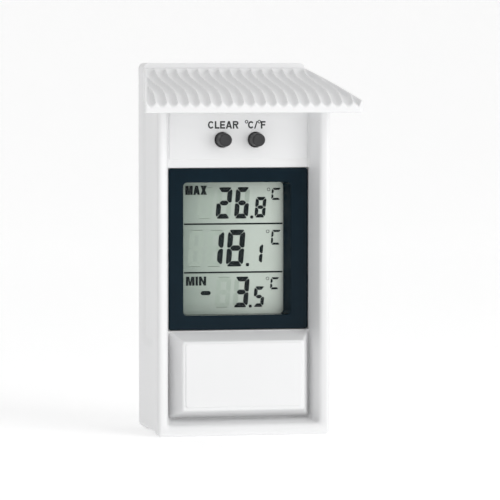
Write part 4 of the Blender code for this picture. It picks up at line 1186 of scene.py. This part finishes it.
def make_screw(node, slot_reach):
    """A pan head with a cross recess and a threaded shank."""
    (x_low, x_high), (tip, top), _ = span(node)
    x, z = place_of(node)
    head = (x_high - x_low) / 2
    height = head * 2 / 3
    under = top - height
    shank, root = head * 0.41, head * 0.41 * 0.78
    pitch = 0.8
    profile = [(0.1, tip), (shank * 0.45, tip + 0.5)]
    y = tip + 1.0
    while y < under - 1.2:
        profile += [(root, y), (shank, y + pitch * 0.45), (root, y + pitch * 0.9)]
        y += pitch
    profile += [(shank * 0.8, under), (head - 0.1, under), (head, under + 0.15), (head, under + height * 0.4)]
    profile += arc((head * 0.62, under + height * 0.4), (head * 0.38, height * 0.6), 0, 90, 8)[1:]
    screw = turned(f"pan_{node}", profile, (x, z), segments=32)
    ends = ((top + 0.5, slot_reach * 1.15, 0.3), (top - height * 0.75, slot_reach * 0.35, 0.2))
    tools = []
    for index in range(2):
        turn = Matrix.Rotation(pi / 4 + index * pi / 2, 2)
        rings = []
        for y, reach, half in ends:
            corners = ((-reach, -half), (reach, -half), (reach, half), (-reach, half))
            flat = [turn @ Vector(corner) for corner in corners]
            rings.append([Vector((x + p.x, y, z + p.y)) * MM for p in flat])
        tools.append(skin(f"cross_{index}", rings))
    cut(screw, *tools)
    finish(screw, "zinc", (node,), sharp=28.0)


def make_screws():
    for corner in CORNERS:
        make_screw(f"housing_screw_{corner}", slot_reach=1.5)
    for corner in CORNERS[2:] + CORNERS[:2]:
        make_screw(f"board_screw_{corner}", slot_reach=1.1)


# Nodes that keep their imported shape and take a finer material

KEPT = {
    "white": ("lcd_frame",),
    "zebra": ("zebra_strip_lower", "zebra_strip_upper"),
    "board": ("circuit_board",),
    "epoxy": ("controller_chip", "thermistor"),
    "nickel": ("clock_crystal", "switch_clear", "switch_unit", "contact_negative", "contact_positive"),
    "ceramic": ("capacitor_left", "capacitor_right"),
    "red": ("battery_lead_red",),
    "dark": ("filter_capacitor", "switch_plunger_clear", "switch_plunger_unit", "battery_lead_black"),
}


def dress_kept_nodes():
    for key, nodes in KEPT.items():
        for node in nodes:
            dress(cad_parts[node], key)


# Stage


def make_stage():
    """A pale floor that curves up into a backdrop far behind. Lengths are in metres."""
    half, front, back, rise, radius = 4.0, -3.0, 2.5, 3.0, 1.2
    line = [(front, 0.0), (back - radius, 0.0)]
    line += [(back - inset, depth) for inset, depth in edge_arc(radius, 12)[1:]]
    line.append((back, rise))
    points = [(x, y, z) for y, z in line for x in (-half, half)]
    faces = [(i, i + 1, i + 3, i + 2) for i in range(0, len(points) - 2, 2)]
    mesh = bpy.data.meshes.new("sweep")
    mesh.from_pydata(points, [], faces)
    mesh.shade_smooth()
    mesh.materials.append(new_material(
        "sweep_paper", Base_Color=(0.9, 0.9, 0.9, 1.0), Roughness=0.9, Specular_IOR_Level=0.1,
        Emission_Color=(1.0, 1.0, 1.0, 1.0), Emission_Strength=0.31,
    ))
    new_object("sweep", mesh)


SURROUND_TILT = (0.09, -0.04, 0.33)
SURROUND_LEVEL = 0.41
LAMP_AIM = (0.0, 0.0, 0.07)
LAMP_SIZE = (0.7, 0.5)


def add_lamp(name, place, power):
    """A soft rectangular light that points at the object. Lengths are in metres."""
    light = bpy.data.lights.new(name, "AREA")
    light.shape = "RECTANGLE"
    light.size, light.size_y = LAMP_SIZE
    light.energy = power
    thing = new_object(name, light)
    thing.location = place
    thing.rotation_euler = (Vector(LAMP_AIM) - Vector(place)).to_track_quat("-Z", "Y").to_euler()


def make_lights():
    """A pale surround, brighter above and to the right, and two soft lamps in front."""
    world = bpy.data.worlds.new("studio")
    bpy.context.scene.world = world
    world.use_nodes = True
    place = add_node(world, "ShaderNodeTexCoord").outputs["Generated"]
    tilt = add_node(world, "ShaderNodeVectorMath", {"operation": "DOT_PRODUCT"}, Vector=place)
    tilt.inputs[1].default_value = SURROUND_TILT
    total = add_node(world, "ShaderNodeMath", Value=tilt.outputs["Value"])
    total.inputs[1].default_value = SURROUND_LEVEL
    background = world.node_tree.nodes["Background"]
    background.inputs["Color"].default_value = (1.0, 1.0, 1.0, 1.0)
    world.node_tree.links.new(total.outputs["Value"], background.inputs["Strength"])
    add_lamp("key", (0.62, -0.85, 0.12), power=2.6)
    add_lamp("top", (0.55, -0.8, 0.65), power=2.4)


def make_camera():
    """The object fills most of the frame, seen from its left and a little above."""
    azimuth, elevation = radians(12.47), radians(2.84)
    distance = 1.3918
    target = Vector((7.31, 10.0, 64.7)) * MM
    forward = Vector((sin(azimuth) * cos(elevation), cos(azimuth) * cos(elevation), -sin(elevation)))
    data = bpy.data.cameras.new("camera")
    data.sensor_width = 36.0
    data.lens = 278.2
    data.clip_start, data.clip_end = 0.05, 20.0
    camera = new_object("camera", data)
    camera.location = target - forward * distance
    camera.rotation_euler = forward.to_track_quat("-Z", "Y").to_euler()
    bpy.context.scene.camera = camera


make_camera()
make_lights()
make_stage()
bpy.context.scene.view_settings.view_transform = "Standard"
make_roof()
make_front_housing()
make_rear_housing()
make_bezel()
make_lcd()
make_pane()
make_legends()
for button in BUTTONS:
    make_button(button)
make_cover()
make_battery()
make_spring()
make_screws()
dress_kept_nodes()
